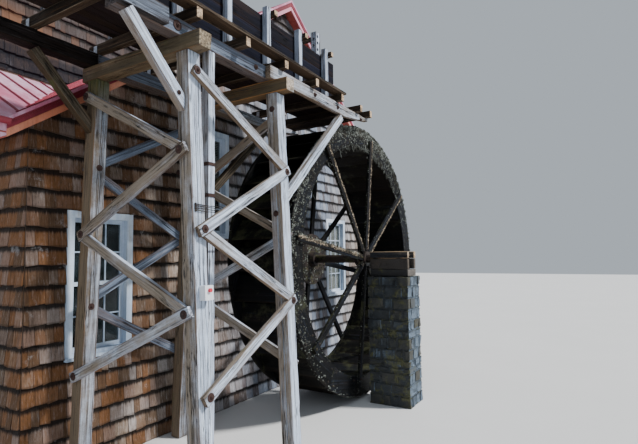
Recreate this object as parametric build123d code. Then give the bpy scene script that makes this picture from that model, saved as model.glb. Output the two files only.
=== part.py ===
from build123d import *
from math import atan2, cos, degrees, hypot, radians, sin
import os

# Watermill: overshot wheel, timber flume on a trestle tower, stone pier and shingled mill house.
# Millimetres. X runs down the flume, +Y from the wheel to the house, +Z up. The origin is the
# centre of the outer pier's underside. Across the flume, y is measured from the wheel's middle.

# wheel
wheel_y = 1300              # pier centre to the wheel's middle plane
axle_z = 2810
wheel_radius = 2740
shroud_depth = 400
shroud_thickness = 60
shroud_segments = 16
segment_joint = 0.6
wheel_width = 1300          # over the shrouds
bucket_count = 32
sole_radius = 2350
sole_thickness = 32
bucket_board = 28
bucket_riser = 150
bucket_sweep = 9.0          # degrees that the front board leans back
bucket_rim_gap = 12
spoke_count = 8
spoke_width = 120
spoke_thickness = 60
spoke_inner = 152
spoke_outer = 2580
spoke_angle = 36.5
shaft_radius = 85
journal_radius = 60
hub_clearance = 0.3
hub_boss_radius = 150
hub_boss_out = 25
hub_boss_in = 150
hub_flange_outer = 250
hub_flange_inner = 560
hub_flange_thickness = 38
bearing_clearance = 0.3

# outer pier
pier_half_depth = 350
pier_out = 1735
pier_in = 865
pier_height = 2460
seat_height = 140           # course that carries the bearing
cheek_height = 210          # stones each side of the bearing
block_half_depth = 230
block_out = 1690
block_in = 890
cradle_half_width = 130
curb_height = 140
bearing_out_y = 1250
bearing_length = 240
bearing_base = 240
bearing_base_height = 45
bearing_wall = 45
journal_end = 1430
journal_start = 1080

# trestle tower
post_size = 200
tower_upstream = -5178      # upstream face of the tower
tower_length = 1917
post_foot = 1215            # outer face of a post from the middle, at the floor
batter = 0.051
cap_underside = 5285
cap_height = 200
cap_reach_out = 1130
cap_reach_in = 1080
brace_top = 5031
brace_drop = 917
brace_width = 135
brace_thickness = 65
brace_end = 62
brace_joint = 3
knee_depth = 130
knee_thickness = 115
knee_outer_side = 800
knee_mill_side = 840
knee_up_foot = 4650
knee_up_reach = 800
knee_down_foot = 3660
knee_down_reach = 1960
prop_size = 120
prop_x = -4690
switch_z = 2415
switch_size = (130, 90, 165)
switch_corner = 12
button_radius = 22
button_length = 28

# flume
stringer_height = 200
stringer_inner = 600
stringer_outer = 800
stringer_mill_side = 870
stringer_mill_width = 200
stringer_butt = 2
lapped_thickness = 100
middle_start = -6000
flume_start = -7300
upstream_lap_end = -5400
downstream_lap_start = -3540
downstream_tip = -200
tip_taper = 1000
tip_height = 60
sill_first = -6820
sill_pitch = 890
sill_count = 7
end_bearers = (-700, -262)
sill_width = 100
sill_height = 140
sill_reach = 1000
sill_mill_reach = 1090
floor_thickness = 50
floor_planks = 7
floor_end = -420
board_gap = 3
channel_half = 520
side_thickness = 50
side_height = 790
side_planks = 3
side_end = -1050
yoke_size = 100
yoke_height = 920
tie_width = 90
tie_reach = 740
ledge_width = 220
ledge_thickness = 40
ledge_end = -1380
gate_x = -1600
gate_y = 400                # inner faces of the stems, in the channel
gate_stem_size = (160, 110)
gate_stem_top = 7080
gate_bar_size = (60, 80)
gate_bar_drop = 70          # top of the crosshead below the stems' tops


# mill house
ridge_x = 90
house_half_length = 5780
wall_thickness = 200
front_y = 1400              # outer face of the gable wall
main_front_y = 4100         # outer face of the taller block's front wall
main_depth = 3600
main_wall_height = 9500
roof_slope = 0.711
roof_drop = 250             # roof thickness measured straight down
verge = 240
eave = 358
eave_top = 4621             # top of the roof at the eave's edge
lean_slope = 0.568
lean_drop = 200
lean_end = 450              # how far the lean-to roof runs past the gable's eave
main_verge = 350
main_eave = 400
fascia_thickness = 38
fascia_depth = 250
gutter_radius = 65
gutter_wall = 4
floor_level = 1050
upper_floor_level = 5000
house_floor_thickness = 140
shaft_hole_radius = 150
wall_box_radius = 260
wall_box_flange = 45
shaft_inside = 420

# windows
window_width = 870
window_height = 1890
casing_width = 88
casing_proud = 32
frame_depth = 110
sash_width = 58
sash_depth = 46
sill_lip = 45
glass_thickness = 6
# left edge and foot of each opening
front_windows = ((-5060, 1585), (-2850, 3325), (2040, 1890))
main_window_x = (-4100, -350, 3400)
main_window_z = (1600, 5600)
end_window_y = 5465


def span(low, high):
    """Middle and size of a run from low to high."""
    return (low + high) / 2, high - low


def block(x, y, z):
    """A squared timber or slab between the given pairs, y measured from the wheel's middle."""
    (cx, dx), (cy, dy), (cz, dz) = span(*x), span(*y), span(*z)
    return Pos(cx, wheel_y + cy, cz) * Box(dx, dy, dz)


def along_y(points, y):
    """A profile of (x, z) points carried across from y[0] to y[1]."""
    outline = Polyline(*[(px, wheel_y + y[0], pz) for px, pz in points], close=True)
    return extrude(make_face(outline), amount=y[1] - y[0], dir=(0, 1, 0))


def along_x(points, x):
    """A profile of (y, z) points carried along from x[0] to x[1]."""
    outline = Polyline(*[(x[0], wheel_y + py, pz) for py, pz in points], close=True)
    return extrude(make_face(outline), amount=x[1] - x[0], dir=(1, 0, 0))


def mirrored_y(piece):
    """The same piece on the other side of the wheel's middle plane."""
    return mirror(piece, about=Plane.XZ.offset(-wheel_y))


def mirrored_x(piece):
    """The same piece on the other side of the ridge."""
    return mirror(piece, about=Plane.YZ.offset(ridge_x))


nodes = {}

# tower
cap_top = cap_underside + cap_height
tower_downstream = tower_upstream + tower_length
lean = batter * cap_underside


def post(x, side):
    """A square post from the floor to its cap, leaning in towards the flume."""
    foot_y = side * (post_foot - post_size / 2)
    section = Pos(x + post_size / 2, wheel_y + foot_y, 0) * Rectangle(post_size, post_size)
    way = (0, -side * batter, 1)
    return extrude(section, amount=cap_underside * hypot(batter, 1), dir=way)


nodes["post_upstream_outer"] = post(tower_upstream, -1)
nodes["post_upstream_inner"] = post(tower_upstream, 1)
nodes["post_downstream_outer"] = post(tower_downstream - post_size, -1)
nodes["post_downstream_inner"] = post(tower_downstream - post_size, 1)

cap_y = (-cap_reach_out, cap_reach_in)
cap_z = (cap_underside, cap_top)
nodes["cap_upstream"] = block((tower_upstream, tower_upstream + post_size), cap_y, cap_z)
nodes["cap_downstream"] = block((tower_downstream - post_size, tower_downstream), cap_y, cap_z)


def zigzag(face, near, far):
    """Four boards that zigzag down a tower face, bolted by turns to the near and far posts."""
    bolts = []
    for step in range(5):
        height = brace_top - step * brace_drop
        across = near if step % 2 == 0 else far
        bolts.append((across(height), height))
    boards = []
    for (x0, z0), (x1, z1) in zip(bolts, bolts[1:]):
        length = hypot(x1 - x0, z1 - z0) + 2 * brace_end
        turn = degrees(atan2(z1 - z0, x1 - x0))
        at = face * Pos((x0 + x1) / 2, (z0 + z1) / 2, 0) * Rot(0, 0, turn)
        seat = (Align.CENTER, Align.CENTER, Align.MIN)
        boards.append((at * Box(length, brace_width, brace_thickness, align=seat),
                       at * Box(length + 2 * brace_joint, brace_width + 2 * brace_joint,
                                brace_thickness, align=seat)))
    pieces = [boards[1][0], boards[3][0]]
    for cut, blockers in ((0, (1,)), (2, (1, 3))):
        board = boards[cut][0]
        for other in blockers:
            board = board - boards[other][1]
        pieces.append(max(board.solids(), key=lambda s: s.volume))
    return Compound(children=[p.solid() for p in pieces])


def post_middle(height):
    return post_foot - batter * height - post_size / 2


upstream_face = Plane((tower_upstream, wheel_y, 0), x_dir=(0, -1, 0), z_dir=(-1, 0, 0))
downstream_face = Plane((tower_downstream, wheel_y, 0), x_dir=(0, 1, 0), z_dir=(1, 0, 0))
outer_face = Plane((0, wheel_y - post_foot, 0), x_dir=(1, 0, 0), z_dir=(0, -1, batter))
inner_face = Plane((0, wheel_y + post_foot, 0), x_dir=(-1, 0, 0), z_dir=(0, 1, batter))
upstream_middle = tower_upstream + post_size / 2
downstream_middle = tower_downstream - post_size / 2

nodes["braces_upstream"] = zigzag(
    upstream_face, lambda z: -post_middle(z), lambda z: post_middle(z))
nodes["braces_downstream"] = zigzag(
    downstream_face, lambda z: -post_middle(z), lambda z: post_middle(z))
nodes["braces_outer"] = zigzag(
    outer_face, lambda z: upstream_middle, lambda z: downstream_middle)
nodes["braces_inner"] = zigzag(
    inner_face, lambda z: -downstream_middle, lambda z: -upstream_middle)


def knee(face_x, foot_z, reach, way, y):
    """A diagonal from a post's face, its square-cut head touching the stringer's underside."""
    rise = cap_top - foot_z
    length = hypot(reach, rise)
    up = knee_depth / 2 * length / reach
    run_x, run_z = way * reach / length, rise / length
    off_x, off_z = -way * run_z * knee_depth / 2, way * run_x * knee_depth / 2
    head = (rise - off_z) / run_z
    head_x, head_z = face_x + head * run_x, foot_z + head * run_z
    profile = [(face_x, foot_z - up), (face_x, foot_z + up),
               (head_x + off_x, head_z + off_z), (head_x - off_x, head_z - off_z)]
    return along_y(profile, y)


knee_out_y = (-knee_outer_side - knee_thickness, -knee_outer_side)
knee_mill_y = (knee_mill_side, knee_mill_side + knee_thickness)
knees = []
for y in (knee_out_y, knee_mill_y):
    knees.append(knee(tower_upstream, knee_up_foot, knee_up_reach, -1, y).solid())
    knees.append(knee(tower_downstream, knee_down_foot, knee_down_reach, 1, y).solid())
nodes["knee_braces"] = Compound(children=knees)

nodes["prop_post"] = block((prop_x, prop_x + prop_size),
                           (-stringer_outer, -stringer_outer + prop_size), (0, cap_top))

switch_x = tower_upstream + post_size - switch_size[0] / 2 - 10
switch_middle = switch_z + switch_size[2] / 2
box_place = outer_face * Pos(switch_x, switch_middle, 0)
switch_outline = RectangleRounded(switch_size[0], switch_size[2], switch_corner)
nodes["switch_box"] = box_place * extrude(switch_outline, amount=switch_size[1])
nodes["switch_button"] = box_place * Pos(0, switch_size[2] / 6, switch_size[1]) * Cylinder(
    button_radius, button_length, align=(Align.CENTER, Align.CENTER, Align.MIN))

# stringers and flume
stringer_top = cap_top + stringer_height
lap_y = (-stringer_outer - lapped_thickness, -stringer_outer)
stringer_z = (cap_top, stringer_top)


mill_y = (stringer_mill_side, stringer_mill_side + stringer_mill_width)
butts = (upstream_middle, downstream_middle)


def tapered(start, y):
    """A stringer whose underside rises to a thin tip at the wheel."""
    return along_y([(start, cap_top), (start, stringer_top), (downstream_tip, stringer_top),
                    (downstream_tip, stringer_top - tip_height),
                    (downstream_tip - tip_taper, cap_top)], y)


nodes["stringers_upstream"] = Compound(children=[
    block((flume_start, upstream_lap_end), lap_y, stringer_z).solid(),
    block((flume_start, butts[0] - stringer_butt / 2), mill_y, stringer_z).solid()])
nodes["stringers_middle"] = Compound(children=[
    block((middle_start, tower_downstream), (-stringer_outer, -stringer_inner), stringer_z).solid(),
    block((butts[0] + stringer_butt / 2, butts[1] - stringer_butt / 2), mill_y, stringer_z).solid()])
nodes["stringers_downstream"] = Compound(children=[
    tapered(downstream_lap_start, lap_y).solid(),
    tapered(butts[1] + stringer_butt / 2, mill_y).solid()])

sill_z = (stringer_top, stringer_top + sill_height)
sills = [sill_first + sill_pitch * step for step in range(sill_count)]
nodes["flume_sills"] = Compound(children=[
    block((x - sill_width / 2, x + sill_width / 2), (-sill_reach, sill_mill_reach), sill_z).solid()
    for x in sills + list(end_bearers)])

deck = sill_z[1]
plank_width = (2 * channel_half - (floor_planks - 1) * board_gap) / floor_planks
nodes["flume_floor"] = Compound(children=[
    block((flume_start, floor_end),
          (-channel_half + step * (plank_width + board_gap),
           -channel_half + step * (plank_width + board_gap) + plank_width),
          (deck, deck + floor_thickness)).solid()
    for step in range(floor_planks)])

board_height = (side_height - (side_planks - 1) * board_gap) / side_planks
side_outer = Compound(children=[
    block((flume_start, side_end), (-channel_half - side_thickness, -channel_half),
          (deck + step * (board_height + board_gap),
           deck + step * (board_height + board_gap) + board_height)).solid()
    for step in range(side_planks)])
nodes["flume_side_outer"] = side_outer
nodes["flume_side_inner"] = Compound(children=[mirrored_y(s).solid() for s in side_outer.solids()])

yoke_in = channel_half + side_thickness
yokes = []
ties = []
for x in sills:
    for way in (-1, 1):
        y = sorted((way * yoke_in, way * (yoke_in + yoke_size)))
        yokes.append(block((x - yoke_size / 2, x + yoke_size / 2), y,
                           (deck, deck + yoke_height)).solid())
    ties.append(block((x + yoke_size / 2, x + yoke_size / 2 + tie_width), (-tie_reach, tie_reach),
                      (deck + side_height, deck + side_height + tie_width)).solid())
nodes["flume_yokes"] = Compound(children=yokes)
nodes["flume_ties"] = Compound(children=ties)
nodes["flume_ledge"] = block((flume_start, ledge_end), (-sill_reach - 20, -sill_reach - 20 + ledge_width),
                             (deck, deck + ledge_thickness))

gate_stem = block((gate_x, gate_x + gate_stem_size[0]),
                  (-gate_y - gate_stem_size[1], -gate_y),
                  (deck + floor_thickness, gate_stem_top))
nodes["gate_stem"] = Compound(children=[gate_stem.solid(), mirrored_y(gate_stem).solid()])
bar_top = gate_stem_top - gate_bar_drop
nodes["gate_bar"] = block((gate_x + 20, gate_x + 20 + gate_bar_size[0]), (-gate_y, gate_y),
                          (bar_top - gate_bar_size[1], bar_top))

# wheel
hub_centre = Pos(0, wheel_y, axle_z)
half_width = wheel_width / 2


def around(piece, angle):
    """A piece drawn about the wheel's axis, turned by an angle from +X towards +Z."""
    return hub_centre * Rot(0, -angle, 0) * piece


def ring_piece(outer, inner, y, count, index):
    """One segment of a ring between two y values, short of its neighbours by the joint."""
    step = 360 / count
    half = radians(step / 2)
    profile = [(inner * cos(half), -inner * sin(half)), (outer * cos(half), -outer * sin(half)),
               (outer * cos(half), outer * sin(half)), (inner * cos(half), inner * sin(half))]
    edges = [Line(profile[0], profile[1]),
             ThreePointArc(profile[1], (outer, 0), profile[2]),
             Line(profile[2], profile[3]),
             ThreePointArc(profile[3], (inner, 0), profile[0])]
    flat = make_face(edges)
    solid = Rot(90, 0, 0) * Pos(0, 0, -y[1]) * extrude(flat, amount=y[1] - y[0])
    for way in (-1, 1):
        trim = Rot(0, -way * step / 2, 0) * Box(3 * outer, 3 * half_width, segment_joint)
        solid = solid - trim
    return around(solid, index * step).solid()


shroud = [ring_piece(wheel_radius, wheel_radius - shroud_depth,
                     (-half_width, -half_width + shroud_thickness), shroud_segments, step)
          for step in range(shroud_segments)]
nodes["shroud_outer"] = Compound(children=shroud)
nodes["shroud_inner"] = Compound(children=[mirrored_y(s).solid() for s in shroud])

spokes = []
for step in range(spoke_count):
    bar = Pos((spoke_inner + spoke_outer) / 2, -half_width - spoke_thickness / 2, 0) * Box(
        spoke_outer - spoke_inner, spoke_thickness, spoke_width)
    spokes.append(around(bar, spoke_angle + step * 360 / spoke_count).solid())
nodes["spokes_outer"] = Compound(children=spokes)
nodes["spokes_inner"] = Compound(children=[mirrored_y(s).solid() for s in spokes])

inside = half_width - shroud_thickness
stave_half = radians(180 / bucket_count)
staves = []
buckets = []
for step in range(bucket_count):
    angle = (step + 0.5) * 360 / bucket_count
    low = sole_radius * cos(stave_half)
    high = low + sole_thickness
    reach = low * (sin(stave_half) / cos(stave_half)) - segment_joint / 2
    stave = Pos(high - sole_thickness / 2, 0, 0) * Box(sole_thickness, 2 * inside, 2 * reach)
    staves.append(around(stave, angle).solid())
    foot = high + 0.5
    knee_r = foot + bucket_riser
    rim_r = wheel_radius - bucket_rim_gap
    lean_back = radians(bucket_sweep)
    tip = (rim_r * cos(lean_back), rim_r * sin(lean_back))
    way = atan2(tip[1], tip[0] - knee_r)
    off = (-sin(way) * bucket_board, cos(way) * bucket_board)
    fold = bucket_board * (1 - cos(way)) / sin(way)
    riser = Polyline((foot, 0), (knee_r, 0), (knee_r - fold, bucket_board),
                     (foot, bucket_board), close=True)
    front = Polyline((knee_r, 0), tip, (tip[0] + off[0], tip[1] + off[1]),
                     (knee_r - fold, bucket_board), close=True)
    for outline in (riser, front):
        board = Rot(90, 0, 0) * Pos(0, 0, -inside) * extrude(make_face(outline), amount=2 * inside)
        buckets.append(around(board, angle).solid())
nodes["sole"] = Compound(children=staves)
nodes["buckets"] = Compound(children=buckets)


def turned(profile):
    """A turned piece about the wheel's axis, from (radius, y) points."""
    outline = make_face(Polyline(*[(r, y, 0) for r, y in profile], close=True))
    return hub_centre * revolve(outline, Axis.Y)


hub_bore = shaft_radius + hub_clearance
flange_y = -half_width


def hub(flange_radius):
    """A flanged hub behind the spokes, its boss running through them."""
    return turned([
        (hub_bore, flange_y - hub_boss_out - spoke_thickness),
        (hub_boss_radius, flange_y - hub_boss_out - spoke_thickness),
        (hub_boss_radius, flange_y),
        (flange_radius, flange_y),
        (flange_radius, flange_y + hub_flange_thickness),
        (hub_boss_radius * 1.25, flange_y + hub_flange_thickness),
        (hub_boss_radius, flange_y + hub_boss_in),
        (hub_bore, flange_y + hub_boss_in)])


nodes["hub_outer"] = hub(hub_flange_outer)
nodes["hub_inner"] = mirrored_y(hub(hub_flange_inner))

wall_inner = front_y + wall_thickness
nodes["wheel_shaft"] = turned([
    (0, -journal_end), (journal_radius - 6, -journal_end), (journal_radius, -journal_end + 6),
    (journal_radius, -journal_start), (shaft_radius, -journal_start),
    (shaft_radius, wall_inner + shaft_inside), (0, wall_inner + shaft_inside)])

# outer pier and bearings
pier_x = (-pier_half_depth, pier_half_depth)
nodes["pier"] = block(pier_x, (-pier_out, -pier_in), (0, pier_height))
seat_top = pier_height + seat_height
cheek_top = seat_top + cheek_height
block_y = (-block_out, -block_in)
cheek_x = (cradle_half_width, block_half_depth)
nodes["pier_seat"] = block((-block_half_depth, block_half_depth), block_y,
                           (pier_height, seat_top))


def both_sides(z):
    """A stone each side of the bearing."""
    stone = block(cheek_x, block_y, z)
    return Compound(children=[stone.solid(), mirror(stone, about=Plane.YZ).solid()])


nodes["pier_cheeks"] = both_sides((seat_top, cheek_top))
nodes["pier_curbs"] = both_sides((cheek_top, cheek_top + curb_height))

seat_z = seat_top - axle_z
body_radius = journal_radius + bearing_wall
body = Pos(0, seat_z / 2) * Rectangle(2 * body_radius, -seat_z) + Circle(body_radius)
foot = Pos(0, seat_z + bearing_base_height / 2) * Rectangle(bearing_base, bearing_base_height)
section = body + foot - Circle(journal_radius + bearing_clearance)
plummer = Rot(90, 0, 0) * extrude(section, amount=bearing_length / 2, both=True)
nodes["bearing_outer"] = hub_centre * Pos(0, -bearing_out_y, 0) * plummer

box_bore = shaft_radius + bearing_clearance
sleeve = shaft_hole_radius - 5
nodes["wall_bearing"] = turned([
    (box_bore, front_y - wall_box_flange), (wall_box_radius, front_y - wall_box_flange),
    (wall_box_radius, front_y), (sleeve, front_y), (sleeve, wall_inner), (box_bore, wall_inner)])

# mill house walls
house_x = (ridge_x - house_half_length, ridge_x + house_half_length)
gable_eave = (house_x[0] - eave, eave_top)
ridge_top = eave_top + roof_slope * (house_half_length + eave)


def gable_top(x):
    """Top of the gable roof at x."""
    return ridge_top - roof_slope * abs(x - ridge_x)


def opening(x, z, y):
    """The rough opening of a window, through a wall between the y values."""
    return block((x, x + window_width), y, (z, z + window_height))


under = roof_drop
front_profile = [(house_x[0], 0), (house_x[0], gable_top(house_x[0]) - under),
                 (ridge_x, ridge_top - under),
                 (house_x[1], gable_top(house_x[1]) - under), (house_x[1], 0)]
front_wall = along_y(front_profile, (front_y, wall_inner))
shaft_hole = hub_centre * Pos(0, front_y + wall_thickness / 2, 0) * Rot(90, 0, 0) * Cylinder(
    shaft_hole_radius, 2 * wall_thickness)
front_wall = front_wall - shaft_hole
for x, z in front_windows:
    front_wall = front_wall - opening(x, z, (front_y - 1, wall_inner + 1))
nodes["front_wall"] = front_wall

side_top = gable_top(house_x[0]) - under
side_wall = along_y([(house_x[0], 0), (house_x[0], side_top),
                     (house_x[0] + wall_thickness, side_top + roof_slope * wall_thickness),
                     (house_x[0] + wall_thickness, 0)], (wall_inner, main_front_y))
nodes["gable_side_walls"] = Compound(children=[side_wall.solid(), mirrored_x(side_wall).solid()])

main_back_y = main_front_y + main_depth
main_inner = (main_front_y + wall_thickness, main_back_y - wall_thickness)
nodes["main_front_wall"] = block(house_x, (main_front_y, main_inner[0]), (0, main_wall_height))
back_wall = block(house_x, (main_inner[1], main_back_y), (0, main_wall_height))
back_windows = [(x, z) for z in main_window_z for x in main_window_x]
for x, z in back_windows:
    back_wall = back_wall - opening(x, z, (main_inner[1] - 1, main_back_y + 1))
nodes["main_back_wall"] = back_wall

main_ridge_y = (main_front_y + main_back_y) / 2
end_rise = roof_slope * (main_ridge_y - main_inner[0])
plate = main_wall_height + roof_slope * wall_thickness
end_profile = [(main_inner[0], 0), (main_inner[0], plate),
               (main_ridge_y, plate + end_rise),
               (main_inner[1], plate), (main_inner[1], 0)]
end_wall = along_x(end_profile, (house_x[0], house_x[0] + wall_thickness))
end_windows = [(end_window_y, z) for z in main_window_z]
for y, z in end_windows:
    end_wall = end_wall - block((house_x[0] - 1, house_x[0] + wall_thickness + 1),
                                (y, y + window_width), (z, z + window_height))
nodes["main_end_walls"] = Compound(children=[end_wall.solid(), mirrored_x(end_wall).solid()])

inner_x = (house_x[0] + wall_thickness, house_x[1] - wall_thickness)
nodes["floors"] = Compound(children=[
    block(inner_x, (wall_inner, main_front_y), (floor_level - house_floor_thickness, floor_level)).solid(),
    block(inner_x, main_inner, (floor_level - house_floor_thickness, floor_level)).solid(),
    block(inner_x, main_inner, (upper_floor_level - house_floor_thickness, upper_floor_level)).solid()])

# roofs
roof_front_y = front_y - verge
gable_slope = along_y([(gable_eave[0], eave_top - roof_drop), gable_eave,
                       (ridge_x, ridge_top), (ridge_x, ridge_top - roof_drop)],
                      (roof_front_y + fascia_thickness, main_front_y))
nodes["gable_roof_upstream"] = gable_slope
nodes["gable_roof_downstream"] = mirrored_x(gable_slope)

fascia = along_y([(gable_eave[0], eave_top - fascia_depth), gable_eave,
                  (ridge_x, ridge_top), (ridge_x, ridge_top - fascia_depth)],
                 (roof_front_y, roof_front_y + fascia_thickness))
nodes["rake_fascia"] = Compound(children=[fascia.solid(), mirrored_x(fascia).solid()])

lean_y = (roof_front_y + fascia_thickness, main_front_y)
lean_rise = lean_slope * (lean_y[1] - lean_y[0])
lean_x0 = gable_eave[0] - lean_end
valley_x = gable_eave[0] + (lean_rise + 200) / roof_slope
lean_slab = along_x([(lean_y[0], eave_top - lean_drop), (lean_y[0], eave_top),
                     (lean_y[1], eave_top + lean_rise), (lean_y[1], eave_top + lean_rise - lean_drop)],
                    (lean_x0, valley_x))
under_gable = along_y([(gable_eave[0], 0), gable_eave, (ridge_x, ridge_top), (ridge_x, 0)],
                      (lean_y[0] - 10, lean_y[1] + 10))
lean_roof = lean_slab - under_gable
nodes["lean_to_roofs"] = Compound(children=[
    max(lean_roof.solids(), key=lambda s: s.volume),
    mirrored_x(max(lean_roof.solids(), key=lambda s: s.volume)).solid()])

main_x = (house_x[0] - main_verge, house_x[1] + main_verge)
main_under = main_wall_height - roof_slope * main_eave
main_over = main_under + roof_drop
main_rise = roof_slope * (main_ridge_y - main_front_y + main_eave)
main_slope = along_x([(main_front_y - main_eave, main_under), (main_front_y - main_eave, main_over),
                      (main_ridge_y, main_over + main_rise), (main_ridge_y, main_under + main_rise)],
                     main_x)
nodes["main_roof_front"] = main_slope
nodes["main_roof_back"] = mirror(main_slope, about=Plane.XZ.offset(-wheel_y - main_ridge_y))

gutter_section = Circle(gutter_radius) - Circle(gutter_radius - gutter_wall) - Pos(
    0, gutter_radius) * Rectangle(3 * gutter_radius, 2 * gutter_radius)


def gutter(y, z, x):
    """A half-round gutter along X with its back against the eave at y."""
    run = Plane((x[0], wheel_y + y - gutter_radius, z), x_dir=(0, 1, 0), z_dir=(1, 0, 0))
    return extrude(run * gutter_section, amount=x[1] - x[0])


lean_gutter = gutter(lean_y[0], eave_top - 40, (lean_x0, gable_eave[0]))
nodes["gutters"] = Compound(children=[lean_gutter.solid(), mirrored_x(lean_gutter).solid()])

# windows
def window(place):
    """Casing, sill and two sashes in one frame, and the sheet of glass, facing the plane's +Z."""
    outer = Rectangle(window_width + 2 * casing_width, window_height + 2 * casing_width)
    hole = Rectangle(window_width, window_height)
    casing = extrude(outer - Rectangle(window_width - 20, window_height - 20), amount=casing_proud)
    jamb = extrude(hole - Rectangle(window_width - 20, window_height - 20), amount=-frame_depth)
    lights = []
    light_height = (window_height - 20 - 3 * sash_width) / 2
    for way in (-1, 1):
        shift = way * (light_height + sash_width) / 2
        lights.append(Pos(0, shift) * Rectangle(window_width - 20 - 2 * sash_width, light_height))
    sash = Rectangle(window_width - 20, window_height - 20) - lights[0] - lights[1]
    sashes = Pos(0, 0, -frame_depth) * extrude(sash, amount=sash_depth)
    lip = Pos(0, -window_height / 2 - casing_width, casing_proud) * Box(
        window_width + 2 * casing_width, sill_lip, sill_lip,
        align=(Align.CENTER, Align.MIN, Align.MIN))
    frame = casing + jamb + sashes + lip
    back = -frame_depth + sash_depth / 2
    panes = [Pos(0, 0, back - glass_thickness / 2) * extrude(light, amount=glass_thickness)
             for light in lights]
    return (place * frame).solid(), [(place * pane).solid() for pane in panes]


front_frames = []
front_panes = []
for x, z in front_windows:
    place = Plane((x + window_width / 2, wheel_y + front_y, z + window_height / 2),
                  x_dir=(1, 0, 0), z_dir=(0, -1, 0))
    frame, panes = window(place)
    front_frames.append(frame)
    front_panes.extend(panes)
nodes["gable_window_frames"] = Compound(children=front_frames)
nodes["gable_window_glass"] = Compound(children=front_panes)

main_frames = []
main_panes = []
for x, z in back_windows:
    place = Plane((x + window_width / 2, wheel_y + main_back_y, z + window_height / 2),
                  x_dir=(-1, 0, 0), z_dir=(0, 1, 0))
    frame, panes = window(place)
    main_frames.append(frame)
    main_panes.extend(panes)
for wall_x, out in ((house_x[0], -1), (house_x[1], 1)):
    for y, z in end_windows:
        place = Plane((wall_x, wheel_y + y + window_width / 2, z + window_height / 2),
                      x_dir=(0, out, 0), z_dir=(out, 0, 0))
        frame, panes = window(place)
        main_frames.append(frame)
        main_panes.extend(panes)
nodes["main_window_frames"] = Compound(children=main_frames)
nodes["main_window_glass"] = Compound(children=main_panes)

os.makedirs("parts", exist_ok=True)
for name, shape in nodes.items():
    export_step(shape, f"parts/{name}.step")
print(len(nodes), "nodes")
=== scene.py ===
import bpy, bmesh, random
import numpy as np
from math import atan2, cos, pi, radians, sin, tau
from random import choice, gauss, uniform
from mathutils import Matrix, Vector, noise


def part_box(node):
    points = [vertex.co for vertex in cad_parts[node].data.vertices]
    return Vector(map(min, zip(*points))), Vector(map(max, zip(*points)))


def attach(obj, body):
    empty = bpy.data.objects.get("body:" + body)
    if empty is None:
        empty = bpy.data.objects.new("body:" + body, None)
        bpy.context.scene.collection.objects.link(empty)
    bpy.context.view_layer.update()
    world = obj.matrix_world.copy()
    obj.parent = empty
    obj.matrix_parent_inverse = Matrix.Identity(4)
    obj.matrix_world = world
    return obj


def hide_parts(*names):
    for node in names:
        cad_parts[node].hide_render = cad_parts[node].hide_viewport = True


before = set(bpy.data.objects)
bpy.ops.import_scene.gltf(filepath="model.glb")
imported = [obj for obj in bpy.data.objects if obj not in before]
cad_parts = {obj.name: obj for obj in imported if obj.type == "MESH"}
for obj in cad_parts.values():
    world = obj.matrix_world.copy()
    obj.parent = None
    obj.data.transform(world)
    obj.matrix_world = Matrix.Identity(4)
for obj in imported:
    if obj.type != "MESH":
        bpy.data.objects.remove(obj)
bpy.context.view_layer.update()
scene = bpy.context.scene
wheelY, axleZ = 1.3, 2.81  # wheel's middle plane and axle height
xAxis, yAxis, zAxis = (Vector(v) for v in ((1, 0, 0), (0, 1, 0), (0, 0, 1)))
random.seed(7)

def link(name, data):
    made = bpy.data.objects.new(name, data)
    scene.collection.objects.link(made)
    return made

# camera: solved from the photo, eye at standing height upstream of the tower
camera = dict(eye=(-8.9, -3.6, 2.9), yaw=30.92, pitch=4.01, roll=-0.74, focal=469.3, wide=638)

def makeCamera(c):
    data = bpy.data.cameras.new("camera")
    data.sensor_width = 36
    data.lens = c["focal"] / c["wide"] * data.sensor_width
    yaw, pitch, roll = (radians(c[k]) for k in ("yaw", "pitch", "roll"))
    ahead = Vector((cos(yaw) * cos(pitch), sin(yaw) * cos(pitch), sin(pitch)))
    side = Vector((sin(yaw), -cos(yaw), 0))
    up = side.cross(ahead)
    right, top = side * cos(roll) + up * sin(roll), up * cos(roll) - side * sin(roll)
    turn = Matrix((right, top, -ahead)).transposed().to_4x4()
    scene.camera = link("camera", data)
    scene.camera.matrix_world = Matrix.Translation(c["eye"]) @ turn

makeCamera(camera)

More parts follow.
